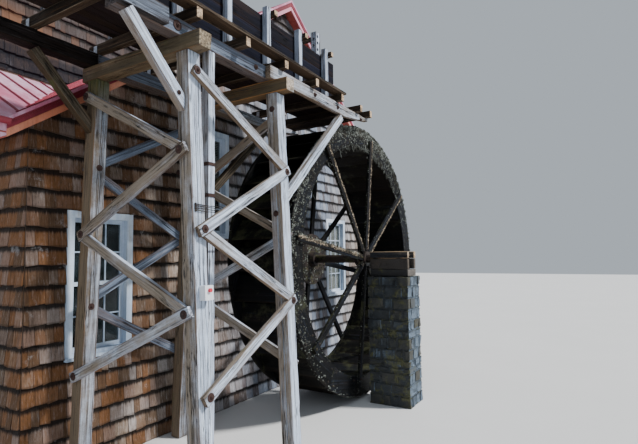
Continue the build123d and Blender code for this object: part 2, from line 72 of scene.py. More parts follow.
# shader sockets as values
class Val:
    def __init__(self, tree, socket=None):
        self.tree, self.socket = tree, socket

    def node(self, kind, settings=None, inputs=None, out=0):
        made = self.tree.nodes.new("ShaderNode" + kind)
        for key, value in (settings or {}).items():
            setattr(made, key, value)
        for key, value in (inputs or {}).items():
            socket = made.inputs[key]
            if isinstance(value, Val):
                self.tree.links.new(value.socket, socket)
            else:
                socket.default_value = (*value, 1) if socket.type == "RGBA" else value
        return Val(self.tree, made.outputs[out])

    def maths(self, kind, a, b=0.0):
        return self.node("Math", {"operation": kind}, {0: a, 1: b})

    def __add__(self, other):
        return self.maths("ADD", self, other)

    def __radd__(self, other):
        return self.maths("ADD", other, self)

    def __sub__(self, other):
        return self.maths("SUBTRACT", self, other)

    def __rsub__(self, other):
        return self.maths("SUBTRACT", other, self)

    def __mul__(self, other):
        return self.maths("MULTIPLY", self, other)

    def __rmul__(self, other):
        return self.maths("MULTIPLY", other, self)

    def __pow__(self, other):
        return self.maths("POWER", self, other)

    def __gt__(self, other):
        return self.maths("GREATER_THAN", self, other)

    def sine(self):
        return self.maths("SINE", self)

    def size(self):
        return self.maths("ABSOLUTE", self)

    def least(self, other):
        return self.maths("MINIMUM", self, other)

    def ramp(self, low, high):  # 0 at low, 1 at high, smooth between
        return self.node("MapRange", {"interpolation_type": "SMOOTHSTEP"}, {0: self, 1: low, 2: high})

    def blend(self, a, b):  # self is the mask between two colours
        return self.node("Mix", {"data_type": "RGBA"}, {0: self, 6: a, 7: b}, 2)

    def noise(self, scale, detail=4.0, rough=0.6, warp=0.0):  # self is a place
        return self.node("TexNoise", {}, {"Vector": self, "Scale": scale, "Detail": detail,
                                          "Roughness": rough, "Distortion": warp})

    def stretch(self, *by):
        return self.node("VectorMath", {"operation": "MULTIPLY"}, {0: self, 1: by})

    def part(self, axis):
        return self.node("SeparateXYZ", {}, {0: self}, axis)


def layered(colour, *layers):  # each mask lets its own colour through
    for mask, over in layers:
        colour = mask.blend(colour, over)
    return colour


class Material:
    def __init__(self, name):
        self.made = bpy.data.materials.new(name)
        self.made.use_nodes = True
        self.tree = self.made.node_tree
        self.start = Val(self.tree)
        self.place = self.start.node("TexCoord", out=3)  # object space, in metres

    def attribute(self, name, out=1):
        return self.start.node("Attribute", {"attribute_name": name}, out=out)

    def tone(self):  # a number that each solid of a pile keeps for itself
        return self.attribute("tone", 2)

    def facing(self):  # the surface normal's x, y and z
        normal = self.start.node("NewGeometry", out=1)
        return [normal.part(k) for k in range(3)]

    def set(self, colour, rough, metal=0.0, alpha=1.0, bumps=(), gloss=0.5):
        sockets = self.tree.nodes["Principled BSDF"].inputs
        values = {"Base Color": colour, "Roughness": rough, "Metallic": metal, "Alpha": alpha}
        for name, value in values.items():
            if isinstance(value, Val):
                self.tree.links.new(value.socket, sockets[name])
            else:
                sockets[name].default_value = value
        sockets["Specular IOR Level"].default_value = gloss
        last = None
        for height, distance, strength in bumps:
            inputs = {"Height": height, "Distance": distance, "Strength": strength}
            last = self.start.node("Bump", {}, {**inputs, "Normal": last} if last else inputs)
        if last:
            self.tree.links.new(last.socket, sockets["Normal"])
        return self.made

def islands(bm):  # each CAD solid of a node on its own
    seen = set()
    for start in bm.verts:
        if start in seen:
            continue
        found, queue = [], [start]
        seen.add(start)
        while queue:
            v = queue.pop()
            found.append(v)
            for e in v.link_edges:
                o = e.other_vert(v)
                if o not in seen:
                    seen.add(o)
                    queue.append(o)
        yield found

def solids(node):
    whole = bmesh.new()
    whole.from_mesh(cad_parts[node].data)
    bmesh.ops.remove_doubles(whole, verts=whole.verts, dist=2e-5)
    bmesh.ops.dissolve_limit(whole, angle_limit=0.003, verts=whole.verts, edges=whole.edges)
    made = []
    for verts in islands(whole):
        bm = bmesh.new()
        copy = {v: bm.verts.new(v.co) for v in verts}
        for face in dict.fromkeys(f for v in verts for f in v.link_faces):
            bm.faces.new([copy[v] for v in face.verts])
        bmesh.ops.recalc_face_normals(bm, faces=bm.faces)
        bm.normal_update()
        made.append(bm)
    whole.free()
    return made

def boxSolid(corners):  # eight corners, one end's four and then the other's
    bm = bmesh.new()
    v = [bm.verts.new(c) for c in corners]
    for f in ((3, 2, 1, 0), (4, 5, 6, 7), (0, 1, 5, 4), (1, 2, 6, 5), (2, 3, 7, 6), (3, 0, 4, 7)):
        bm.faces.new([v[i] for i in f])
    bmesh.ops.recalc_face_normals(bm, faces=bm.faces)
    return bm

def block(x, y, z, place=lambda *p: p):  # place turns the corners' numbers into points
    return boxSolid([place(x[i], y[j], z[k]) for i in (0, 1) for j, k in ((0, 0), (1, 0), (1, 1), (0, 1))])

def soften(bm, radius, profile=0.0, clamp=False):
    bmesh.ops.bevel(bm, geom=bm.edges[:], offset=radius, segments=2, profile=profile, affect="EDGES",
                    clamp_overlap=clamp)

def meshFrom(name, bm):
    mesh = bpy.data.meshes.new(name)
    bm.to_mesh(mesh)
    bm.free()
    return mesh

def ringFaces(count, rings, sides):  # quads between rings of points, and back to the first ring
    return [(k * sides + s, k * sides + (s + 1) % sides, (k + 1) % rings * sides + (s + 1) % sides,
             (k + 1) % rings * sides + s) for k in range(count) for s in range(sides)]


class Pile:  # many solids gathered into one mesh, each with its own grain direction and tone
    def __init__(self):
        self.verts, self.faces, self.grain, self.rim, self.tone, self.count = [], [], [], [], [], 0

    def add(self, verts, faces, grain=None, tone=None, rim=None):
        verts = np.asarray(verts, float)
        self.faces.extend(tuple(i + self.count for i in f) for f in faces)
        self.verts.append(verts)
        self.grain.append(verts if grain is None else np.asarray(grain, float))
        self.rim.append(np.ones((len(verts), 3)) * (1, 0, 0) if rim is None else rim)
        tone = random.random() if tone is None else tone
        self.tone.append(np.broadcast_to(tone, (len(verts),)))
        self.count += len(verts)

    def addSolid(self, bm, along=xAxis, across=yAxis, tone=None):
        bm.verts.index_update()
        verts = np.array([v.co for v in bm.verts])
        local = verts @ np.array([along, across, along.cross(across)]).T
        middle, half = (local.max(0) + local.min(0)) / 2, (local.max(0) - local.min(0)) / 2
        local -= middle
        rim = local / half  # how near the edges, and how far from the ends in metres
        rim[:, 0] = half[0] - abs(local[:, 0])
        grain = local + (uniform(-40, 40), 0, 0)
        self.add(verts, [[v.index for v in f.verts] for f in bm.faces], grain, tone, rim)
        bm.free()

    def make(self, name, material, body="mill", nodes=(), slot=None, sharp=32, smooth=True):
        mesh = bpy.data.meshes.new(name)
        mesh.from_pydata(np.concatenate(self.verts).tolist(), [], self.faces)
        for key, kind, field in (("grain", "FLOAT_VECTOR", "vector"), ("rim", "FLOAT_VECTOR", "vector"),
                                 ("tone", "FLOAT", "value")):
            values = np.concatenate(getattr(self, key)).astype("f").ravel()
            mesh.attributes.new(key, kind, "POINT").data.foreach_set(field, values)
        if smooth:
            mesh.shade_smooth()
            mesh.set_sharp_from_angle(angle=radians(sharp))
        mesh.materials.append(material)
        piece = link(name, mesh)
        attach(piece, body)
        if nodes:
            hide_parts(*nodes)
        return piece


def grainAxes(bm):
    longest = max(bm.edges, key=lambda e: e.calc_length())
    along = (longest.verts[1].co - longest.verts[0].co).normalized()
    widest = max((f for f in bm.faces if abs(f.normal.dot(along)) < 0.5), key=lambda f: f.calc_area())
    across = along.cross(widest.normal).normalized()
    return along, across

def cutAcross(bm, axis, at):
    whole = bm.verts[:] + bm.edges[:] + bm.faces[:]
    bmesh.ops.bisect_plane(bm, geom=whole, plane_co=axis * at, plane_no=axis, dist=1e-5)

def weather(bm, look):  # round the edges, cut stations along the grain, open checks and wear it
    bmesh.ops.recalc_face_normals(bm, faces=bm.faces)
    along, across = grainAxes(bm)
    axes = (along, across, along.cross(across))
    low, high = (np.array([pick(v.co.dot(a) for v in bm.verts) for a in axes]) for pick in (min, max))
    span, middle = high - low, (low + high) / 2
    soften(bm, min(look["round"], min(span[1:]) * 0.2), 0.55, True)
    checks = []
    for _ in range(look.get("checks", 0)):
        i = choice((1, 2))
        if span[i] < 0.07:  # too thin to split
            continue
        at = middle[i] + uniform(-0.32, 0.32) * span[i]
        for step in (-0.005, 0, 0.005):
            cutAcross(bm, axes[i], at + step)
        out = axes[3 - i] * choice((-1, 1))
        start = uniform(low[0], middle[0])
        checks.append((axes[i], at, out, start, start + uniform(0.3, 0.9) * span[0]))
    stations = int(span[0] / look["station"])
    for step in range(1, stations):
        at = low[0] + step * span[0] / stations
        cutAcross(bm, along, at + uniform(-0.2, 0.2) * look["station"])
    for i in (1, 2) if "split" in look else ():
        cuts = int(span[i] / look["split"])
        for step in range(1, cuts + 1):
            cutAcross(bm, axes[i], low[i] + span[i] * step / (cuts + 1))
    bm.normal_update()
    seed = Vector((uniform(0, 90), uniform(0, 90), 0))
    moves = []
    for v in bm.verts:
        u, s, t = (v.co.dot(a) for a in axes)
        slow = noise.noise(Vector((u * 1.3, s * 3, t * 3)) + seed)
        quick = noise.noise(Vector((u * 7, s * 22, t * 22)) + seed)
        depth = look["wear"] * (0.5 + 0.5 * slow) + look["wear"] * 0.7 * max(0, quick)
        rim = max(abs(s - middle[1]) * 2 / span[1], abs(t - middle[2]) * 2 / span[2])
        if rim > 0.8 and len(v.link_edges) > 2:  # chips along the edges
            chip = noise.noise(Vector((u * 4, s * 9, t * 9)) + seed * 2)
            depth += look["chip"] * max(0, chip - 0.15)
        move = v.normal * -depth
        for axis, at, out, start, end in checks:
            if abs(v.co.dot(axis) - at) < 0.001 and v.normal.dot(out) > 0.6 and start < u < end:
                swell = sin(pi * (u - start) / (end - start)) ** 0.5
                move = move - out * look["checkDepth"] * swell * (0.6 + slow)
        moves.append(move)
    for v, move in zip(bm.verts, moves):
        v.co += move
    return along, across

def meanY(bm):
    return sum(v.co.y for v in bm.verts) / len(bm.verts)

def dress(name, nodes, material, look, tone=None, side=0, body="mill"):  # weathered copies of the CAD solids
    pile = Pile()
    for node in nodes:
        for bm in solids(node):
            if side * (meanY(bm) - wheelY) >= 0:  # one side of the wheel
                axes = weather(bm, look)
                pile.addSolid(bm, *(axes[::-1] if look.get("crosswise") else axes), tone)
    return pile.make(name, material, body, nodes)

# finishes
def timber(name, c):
    c = {"worn": c["stain"], "end": c["stain"], "fresh": 0, **c}
    m = Material(name)
    grain, tone, rim = m.attribute("grain"), m.tone(), m.attribute("rim")
    side, inwards, up = m.facing()
    out = inwards * -1
    broad = grain.stretch(0.5, 9, 9).noise(1.0, 5, 0.6, 0.3)
    streak = grain.stretch(0.9, 42, 42).noise(1.0, 6, 0.72, 0.2)
    fine = grain.stretch(4, 230, 230).noise(1.0, 4, 0.75)
    blotch, speck = m.place.noise(2.3, 6, 0.68), m.place.noise(75, 4, 0.75)
    split = grain.stretch(0.7, 26, 26).noise(1.0, 7, 0.5, 0.5)
    opened = grain.stretch(0.6, 3, 3).noise(1.0, 2, 0.5).ramp(c["crackFrom"], c["crackFrom"] + 0.1)
    crack = (1 - (split - 0.5).size().ramp(0.002, c["crackWidth"])) * opened
    cells = m.start.node("TexVoronoi", {}, {"Vector": grain.stretch(1.7, 7, 7), "Scale": 1.0})
    knot = 1 - cells.ramp(0.06, 0.15)
    # painted sunlight and shade, partly weathering by exposure: faces turned out (-y), up and downstream (+x)
    # take the pale colour, the others the darker sheltered colour; the light streaks follow the same mask
    bleachedAndSunlit = (out * c["sun"][0] + up * c["sun"][1] + side * 0.34 + (blotch - 0.5) * 1.5
                + (broad - 0.5) * 2.0 + (tone - 0.5) * 0.8 + c["bleach"]).ramp(-0.55, 0.55)
    edge = (rim.part(1).size().least(rim.part(2).size()) + (streak - 0.5) * 0.5).ramp(0.8, 1.0)
    heart = ((grain.part(1) + 0.02) ** 2 + (grain.part(2) + tone * 0.05) ** 2) ** 0.5
    ring = ((heart + (blotch - 0.5) * 0.02) * 700).sine()  # for the sawn ends
    fromEnd = rim.part(0)
    damp = (m.place.noise(1.9, 7, 0.74) + up * 0.05 - out * 0.05).ramp(c["mossFrom"], c["mossFrom"] + 0.12)
    layers = [((broad - 0.5).ramp(0.02, 0.16) * c["warm"], c["stain"]),
              ((0.5 - streak).ramp(0.04, 0.16) * c["silver"] * bleachedAndSunlit, c["light"]),
              (streak.ramp(0.5, 0.64) * c["streaks"], c["streak"]),
              (fine.ramp(0.5, 0.7) * c["streaks"] * 0.7, c["streak"]),
              # undersides darker and browner, in the stain colour
              ((up * -1).ramp(0.3, 0.9) * c["warm"], c["stain"]),
              (edge * c["edge"], c["worn"]),
              (speck.ramp(0.58, 0.68) * 0.55, c["dark"]),
              (knot * 0.75, c["streak"]),
              ((1 - fromEnd.ramp(0.0, 0.006)) * (0.35 + ring * 0.3 + c["fresh"]), c["end"]),
              ((1 - fromEnd.ramp(0.0, 0.1)) * streak.ramp(0.42, 0.62) * 0.6, c["streak"]),
              (damp * c["moss"], c["mossColour"])]
    if "green" in c:  # algae on undersides and high up under the cap
        shaded = (up * -1).ramp(0.2, 0.8) + (m.place.part(2) + (blotch - 0.5) * 0.8).ramp(4.8, 5.35)
        layers.append((shaded.least(1.0) * (0.45 + broad * 0.6), c["green"]))
    colour = layered(bleachedAndSunlit.blend(c["shelteredAndShaded"], c["pale"]), *layers, (crack * 0.92, c["dark"]))
    bumps = (streak * -0.6 + fine * -0.4, 0.006, 0.75), (1 - crack, 0.02, 1.0), (speck, 0.002, 0.35)
    return m.set(colour, c["rough"] + fine * 0.2 - damp * 0.05, bumps=bumps, gloss=c["gloss"])

greys = dict(
    pale=(0.48, 0.57, 0.72), light=(0.82, 0.92, 1.0), shelteredAndShaded=(0.225, 0.185, 0.145),
    streak=(0.036, 0.03, 0.026), stain=(0.15, 0.08, 0.034), dark=(0.006, 0.005, 0.005),
    mossColour=(0.075, 0.08, 0.026), streaks=0.85, silver=0.85, edge=0.6, crackWidth=0.016, crackFrom=0.46,
    sun=(0.5, 0.08), bleach=-0.14, warm=0.45, moss=0.4, mossFrom=0.6, rough=0.72, gloss=0.25)
greyTimber = timber("weathered timber", greys)
capTimber = timber("mossy cap timber", dict(
    greys, pale=(0.31, 0.265, 0.185), light=(0.55, 0.49, 0.38), shelteredAndShaded=(0.08, 0.062, 0.036), moss=0.75,
    mossFrom=0.53, bleach=0.0))
# painted shade: bleach -0.34 makes the inner posts darker than the outer ones
innerPostTimber = timber("inner post timber", dict(
    greys, shelteredAndShaded=(0.15, 0.112, 0.074), bleach=-0.34, green=(0.07, 0.085, 0.02)))
paleCapTimber = timber("pale cap timber", dict(
    greys, pale=(0.38, 0.4, 0.42), light=(0.66, 0.7, 0.74), shelteredAndShaded=(0.085, 0.062, 0.034),
    stain=(0.22, 0.11, 0.04), end=(0.62, 0.5, 0.38), fresh=0.3, worn=(0.46, 0.2, 0.06), edge=0.9, moss=0.7,
    mossFrom=0.55))
# painted shade: a darker brown copy of the grey timber, for the inner knees in the flume's shadow
shadedBrownTimber = timber("brown timber", dict(
    greys, pale=(0.13, 0.105, 0.075), light=(0.3, 0.26, 0.2), shelteredAndShaded=(0.04, 0.028, 0.017),
    streak=(0.012, 0.009, 0.006), stain=(0.09, 0.05, 0.02), moss=0.7, mossFrom=0.52))
# painted shade: a near-black copy of the grey timber, for the inner stringer in the flume's shadow
shadowTimber = timber("darkened timber", dict(
    greys, pale=(0.016, 0.013, 0.013), light=(0.06, 0.054, 0.054), shelteredAndShaded=(0.005, 0.003, 0.002),
    streak=(0.003, 0.002, 0.002), stain=(0.016, 0.009, 0.005), moss=0.3, gloss=0.08))
shadeTimber = timber("shaded timber", dict(
    greys, pale=(0.095, 0.115, 0.155), light=(0.3, 0.36, 0.46), shelteredAndShaded=(0.02, 0.015, 0.01),
    streak=(0.008, 0.007, 0.006), stain=(0.045, 0.026, 0.013), mossFrom=0.58))
# painted shade: a darker, bluer copy of the grey timber, for the inner braces in shade; the middle stringers
# use it too
shadedBlueTimber = timber("blue-grey timber", dict(
    greys, pale=(0.125, 0.16, 0.225), light=(0.28, 0.34, 0.44), shelteredAndShaded=(0.075, 0.085, 0.11),
    streak=(0.02, 0.019, 0.022), bleach=0.0))
gateTimber = timber("gate timber", dict(
    greys, pale=(0.46, 0.53, 0.66), shelteredAndShaded=(0.26, 0.3, 0.38), edge=0.3, bleach=0.1))
# painted highlight: bright tan on the curbs' edges, ends and upper faces (stain, edge, sun); the near-black
# other faces are painted shade
litCurbTimber = timber("curb timber", dict(
    greys, pale=(0.46, 0.36, 0.25), light=(0.8, 0.68, 0.52), shelteredAndShaded=(0.016, 0.018, 0.022),
    streak=(0.012, 0.011, 0.013), stain=(0.72, 0.48, 0.27), sun=(0.55, 1.1), bleach=-0.35, warm=0.0,
    edge=0.95, moss=0.2))

flumeTimber = timber("flume boards", dict(
    pale=(0.006, 0.007, 0.016), light=(0.026, 0.031, 0.058), shelteredAndShaded=(0.009, 0.008, 0.01),
    streak=(0.003, 0.003, 0.003), stain=(0.045, 0.024, 0.011), dark=(0.001, 0.001, 0.001),
    mossColour=(0.03, 0.035, 0.012), streaks=0.7, silver=0.4, edge=0.3, crackWidth=0.012, crackFrom=0.5,
    sun=(0.3, 0.1), bleach=0.0, warm=0.35, moss=0.3, mossFrom=0.62, rough=0.7, gloss=0.06))

# near-black wet wood; its blue light streaks are painted highlights of the wet surface
wetTimber = timber("wet wheel timber", dict(
    pale=(0.007, 0.008, 0.011), light=(0.05, 0.072, 0.12), shelteredAndShaded=(0.003, 0.003, 0.003),
    streak=(0.0015, 0.0015, 0.0015), stain=(0.018, 0.011, 0.006), dark=(0.001, 0.001, 0.001),
    mossColour=(0.04, 0.042, 0.022), streaks=0.75, silver=0.35, edge=0.4, crackWidth=0.014, crackFrom=0.5,
    sun=(0.25, 0.2), bleach=-0.1, warm=0.35, moss=0.8, mossFrom=0.52, rough=0.5, gloss=0.12))

# the pale worn edges are partly wear, partly painted highlight
sawnTimber = timber("sawn deck timber", dict(
    greys, pale=(0.078, 0.058, 0.042), light=(0.5, 0.44, 0.37), shelteredAndShaded=(0.022, 0.014, 0.009),
    streak=(0.008, 0.005, 0.004), stain=(0.11, 0.06, 0.03), end=(0.68, 0.49, 0.33), fresh=0.55,
    worn=(0.46, 0.36, 0.26), dark=(0.004, 0.003, 0.003), mossColour=(0.05, 0.05, 0.016), silver=0.5, edge=0.4,
    sun=(0.35, 0.15), bleach=-0.15, warm=0.3, mossFrom=0.58, rough=0.78, gloss=0.2))

def iron(name, c):
    m = Material(name)
    blotch, pits = m.place.noise(c["scale"], 6, 0.68), m.place.noise(160, 4, 0.7)
    rust = (blotch + pits * 0.25).ramp(c["rustFrom"], c["rustFrom"] + 0.16)
    grown = m.place.noise(7, 6, 0.75).ramp(c["mossFrom"], c["mossFrom"] + 0.12)
    colour = layered(rust.blend(c["bare"], c["rust"]), (pits.ramp(0.45, 0.7) * 0.6, c["deep"]),
                     (grown, (0.06, 0.06, 0.02)))
    bumps = (pits, 0.002, 0.7), (blotch, 0.004, 0.4)
    return m.set(colour, c["rough"] + rust * 0.3, 0.7 * (1 - rust), bumps=bumps)

rustyIron = iron("rusty iron", dict(
    scale=9, bare=(0.026, 0.022, 0.024), rust=(0.036, 0.014, 0.01), deep=(0.012, 0.006, 0.006), rustFrom=0.4,
    mossFrom=0.9, rough=0.58))
wetIron = iron("wet iron", dict(
    scale=6, bare=(0.02, 0.019, 0.02), rust=(0.022, 0.011, 0.007), deep=(0.006, 0.005, 0.005), rustFrom=0.5,
    mossFrom=0.52, rough=0.36))
zinc = iron("galvanised steel", dict(
    scale=14, bare=(0.42, 0.45, 0.52), rust=(0.26, 0.2, 0.17), deep=(0.22, 0.22, 0.24), rustFrom=0.66,
    mossFrom=0.95, rough=0.38))

def stone(name, c):
    m = Material(name)
    tone, (x, y, up) = m.tone(), m.facing()
    coarse, fine, grit = m.place.noise(9, 7, 0.68), m.place.noise(45, 6, 0.75), m.place.noise(190, 4, 0.75)
    # lit is painted light: faces turned out (-y) and downstream (+x) are made paler; the wet patches lean
    # onto the faces turned away from it, so they are partly painted shade
    lit = y * -0.5 + x * 0.2 + up * 0.1
    wet = (m.place.noise(1.4, 5, 0.6) - lit * 0.4).ramp(0.4, 0.6) * c["wet"]
    grown = (m.place.noise(4.5, 7, 0.76) + up * 0.08 - lit * 0.1).ramp(c["mossFrom"], c["mossFrom"] + 0.1)
    colour = layered((tone * 0.7 + (coarse - 0.5) * 1.6 + lit).ramp(0.0, 0.85).blend(c["dark"], c["light"]),
                     ((tone * 19).sine().ramp(0.3, 0.9), c["other"]),
                     (fine.ramp(0.5, 0.62) * 0.7, c["speck"]),
                     (grit.ramp(0.6, 0.72) * 0.4, c["light"]),
                     (wet, c["soakedAndShaded"]), (grown * 0.85, (0.06, 0.06, 0.018)))
    return m.set(colour, 0.8 - wet * 0.35, bumps=((coarse, 0.03, 0.8), (fine, 0.01, 0.9), (grit, 0.002, 0.6)))

rubble = stone("rubble stone", dict(
    dark=(0.013, 0.018, 0.023), light=(0.098, 0.138, 0.188), other=(0.046, 0.044, 0.033),
    speck=(0.03, 0.036, 0.04), soakedAndShaded=(0.007, 0.009, 0.01), wet=0.75, mossFrom=0.53))
slabStone = stone("slab stone", dict(
    dark=(0.022, 0.019, 0.017), light=(0.12, 0.105, 0.09), other=(0.06, 0.042, 0.028),
    speck=(0.022, 0.02, 0.018), soakedAndShaded=(0.006, 0.006, 0.007), wet=0.7, mossFrom=0.6))

def growth(name, light, dark):  # each lump keeps its own tone, from dead brown to pale
    m = Material(name)
    clumps, tips = m.place.noise(30, 6, 0.75), m.place.noise(240, 4, 0.8)
    alive = (m.tone() * 0.9 + (clumps - 0.5) * 1.2 + (tips - 0.5) * 0.8).ramp(0.15, 0.95)
    earth = m.place.noise(4, 4, 0.6).ramp(0.5, 0.65)
    colour = layered(alive.blend(dark, light), (earth, (0.028, 0.023, 0.014)))
    return m.set(colour, 0.92, bumps=((clumps, 0.02, 0.9), (tips, 0.006, 1.0)))

crust = growth("dried crust", (0.74, 0.61, 0.45), (0.1, 0.072, 0.045))
moss = growth("moss", (0.27, 0.295, 0.265), (0.018, 0.017, 0.01))

def shingles(name, c):  # grain runs along the course in x and up it in y
    m = Material(name)
    grain, tone = m.attribute("grain"), m.tone()
    fibre = grain.stretch(48, 3.2, 48).noise(1.0, 7, 0.74)
    fine = grain.stretch(320, 9, 320).noise(1.0, 4, 0.75)
    patch, speck = m.place.noise(0.8, 5, 0.62), m.place.noise(60, 4, 0.75)
    x, y, z = (m.place.part(k) for k in range(3))
    warm = (x * -0.2 + (patch - 0.5) * 1.6 + (tone - 0.5) * 0.5 + c["warmAt"]).ramp(-0.4, 0.5)
    greyed = (1 - warm * 0.7) * c["bleach"]
    layers = [(warm, c["warm"]),
              ((tone * 23).sine().ramp(0.0, 0.95) * c["mixed"], c["other"]),
              ((tone * 71).sine().ramp(0.5, 1.0) * greyed, c["silver"]),
              ((0.5 - fibre).ramp(0.02, 0.14) * greyed, c["silver"]),
              (fibre.ramp(0.5, 0.66) * 0.6, c["shade"]),
              (fine.ramp(0.52, 0.7) * 0.4, c["shade"]),
              # painted shadow, with some dirt, in a dark strip under the course above; then darker along each
              # butt
              ((grain.part(1) + (fibre - 0.5) * 0.1).ramp(0.16, 0.212) * 0.92, c["sootAndShadow"]),
              ((grain.part(1) + (fine - 0.5) * 0.03).ramp(0.028, 0.004) * 0.5, c["shade"]),
              (speck.ramp(0.6, 0.68) * 0.5, c["sootAndShadow"]),
              (z.ramp(*c["eavesShade"]) * 0.75, c["shade"])]  # painted shade under the eaves, where the shingles also stay unbleached
    if "damp" in c:  # painted shadow of the flume: a dark band on the front wall behind it
        height = z + (patch - 0.5) * 0.3
        front, upstream = 1 - y.ramp(5.5, 5.6), 1 - (x + patch).ramp(-3.7, -2.3)
        flumeShadow = height.ramp(6.0, 6.3) * (1 - height.ramp(6.75, 6.85)) * front
        # painted sunlight: a warm band just above the flume's shadow, on the upstream part only
        dried = height.ramp(6.8, 6.95) * (1 - height.ramp(7.1, 7.7)) * front * upstream
        layers += [(flumeShadow * (0.55 + (0.5 - fibre).ramp(-0.1, 0.1) * 0.4), c["damp"]),
                   (dried * (tone * 41).sine().ramp(-1.2, 1.2) * 0.75, c["dried"])]
    colour = layered((x.ramp(-3.6, -0.4) * (1 - x.ramp(1.8, 4.2))).blend(c["cool"], c["far"]), *layers,
                     (m.place.noise(2.6, 7, 0.76).ramp(0.58, 0.68) * c["lichen"], c["silver"]))
    return m.set(colour, 0.78 + fine * 0.15, bumps=((fibre, 0.01, 1.0), (fine, 0.003, 0.7)), gloss=0.25)

lowShingles = shingles("shingle wall", dict(
    cool=(0.35, 0.29, 0.235), far=(0.23, 0.275, 0.36), warm=(0.165, 0.072, 0.027),
    other=(0.08, 0.048, 0.028), shade=(0.034, 0.021, 0.014), silver=(0.48, 0.48, 0.5),
    sootAndShadow=(0.005, 0.004, 0.004), mixed=0.7, bleach=0.5, lichen=0.3, warmAt=-0.58, eavesShade=(6.9, 7.9)))
# upper walls: a much darker copy of the shingle wall, which is painted shade; damp is the colour of the
# flume's painted shadow, dried that of the painted sunlight above it
highShingles = shingles("upper shingles", dict(
    cool=(0.07, 0.062, 0.06), far=(0.058, 0.055, 0.06), warm=(0.09, 0.052, 0.034),
    other=(0.036, 0.029, 0.028), shade=(0.011, 0.008, 0.008), silver=(0.12, 0.118, 0.13),
    sootAndShadow=(0.002, 0.002, 0.002), mixed=0.6, bleach=0.3, lichen=0.25, warmAt=-0.7, eavesShade=(8.9, 9.6),
    damp=(0.003, 0.004, 0.009), dried=(0.2, 0.092, 0.044)))

def paint(name, c):  # painted metal or board, chalked and streaked down its length
    m = Material(name)
    broad, fine = m.place.noise(0.9, 6, 0.65), m.place.noise(55, 5, 0.7)
    runs = m.place.stretch(11, 11, 0.9).noise(1.0, 6, 0.7)
    layers = [(runs.ramp(0.54, 0.7) * c["runs"], c["dirt"]), (fine.ramp(0.55, 0.68) * c["specks"], c["dirt"])]
    if "seam" in c:  # ribs and edges of the roof metal
        layers.append((m.tone() > 0.6, c["seam"]))
    if "far" in c:  # sun-bleached towards the ridge
        layers.append((m.place.part(2).ramp(6.0, 8.2), c["far"]))
    colour = layered((broad + runs * 0.6 - 0.3).ramp(0.32, 0.68).blend(c["deep"], c["light"]), *layers)
    bumps = (fine, 0.0015, 0.4), (broad, 0.012, 0.2)
    return m.set(colour, c["rough"] + fine * 0.2, c.get("metal", 0.0), bumps=bumps)

# the pale lilac light colour stands partly for faded paint and partly for a painted reflection of the sky
redRoof = paint("red roof metal", dict(
    deep=(0.54, 0.16, 0.26), light=(0.82, 0.56, 0.72), dirt=(0.3, 0.04, 0.08), seam=(0.2, 0.018, 0.035),
    runs=0.5, specks=0.2, rough=0.26, metal=0.25))
redTrim = paint("red trim paint", dict(
    deep=(0.13, 0.008, 0.018), light=(0.32, 0.03, 0.055), dirt=(0.05, 0.006, 0.008), runs=0.6, specks=0.3,
    rough=0.34))
whitePaint = paint("window paint", dict(
    deep=(0.4, 0.5, 0.64), light=(0.72, 0.81, 0.93), dirt=(0.26, 0.23, 0.17), runs=0.4, specks=0.35,
    rough=0.42))
creamPaint = paint("cream blind", dict(
    deep=(0.62, 0.66, 0.6), light=(0.84, 0.87, 0.8), dirt=(0.45, 0.48, 0.4), runs=0.3, specks=0.1, rough=0.7))
soffitBoard = paint("soffit boards", dict(
    deep=(0.3, 0.045, 0.04), light=(0.52, 0.12, 0.09), dirt=(0.12, 0.03, 0.02), runs=0.4, specks=0.45,
    rough=0.6))
rakeBoard = paint("rake boards", dict(
    deep=(0.5, 0.16, 0.085), light=(0.8, 0.34, 0.22), dirt=(0.24, 0.08, 0.04), far=(0.62, 0.26, 0.34),
    runs=0.5, specks=0.5, rough=0.6))
casePaint = paint("switch case", dict(
    deep=(0.55, 0.58, 0.64), light=(0.82, 0.84, 0.87), dirt=(0.25, 0.2, 0.15), runs=0.6, specks=0.3,
    rough=0.4))
buttonRed = paint("switch button", dict(
    deep=(0.45, 0.015, 0.03), light=(0.72, 0.04, 0.08), dirt=(0.2, 0.02, 0.02), runs=0.3, specks=0.3,
    rough=0.35))
innerBoards = timber("house floor boards", dict(
    pale=(0.26, 0.155, 0.08), light=(0.36, 0.23, 0.13), shelteredAndShaded=(0.16, 0.085, 0.04),
    streak=(0.06, 0.03, 0.016), stain=(0.16, 0.075, 0.03), dark=(0.012, 0.008, 0.005),
    mossColour=(0.1, 0.08, 0.04), streaks=0.5, silver=0.4, edge=0.2, crackWidth=0.008, crackFrom=0.6,
    sun=(0.0, 0.2), bleach=0.0, warm=0.3, moss=0.0, mossFrom=0.9, rough=0.5, gloss=0.4))

def pane(name):
    m = Material(name)
    drift, dust = m.place.noise(2.2, 4, 0.6), m.place.noise(40, 5, 0.7)
    colour = drift.ramp(0.35, 0.65).blend((0.018, 0.028, 0.032), (0.06, 0.08, 0.09))
    return m.set(colour, 0.04 + dust * 0.1, alpha=0.22 + dust * 0.2, bumps=((drift, 0.004, 0.12),))

glass = pane("window glass")
print("finishes made")

# small turned and bolted things
def disc(pile, at, axis, radius, low, high, sides=20, bevel=0.2, tone=None):
    axis = Vector(axis).normalized()
    u = axis.orthogonal().normalized()
    v = axis.cross(u)
    twist = uniform(0, tau)
    rim = (high - low) * bevel
    verts = [tuple(Vector(at) + axis * h + (u * cos(a) + v * sin(a)) * r)
             for r, h in ((radius, low), (radius, high - rim), (radius - rim, high))
             for a in (twist + tau * s / sides for s in range(sides))]
    ends = [tuple(range(2 * sides, 3 * sides)), tuple(reversed(range(sides)))]
    pile.add(verts, ringFaces(2, 3, sides) + ends, tone=tone)

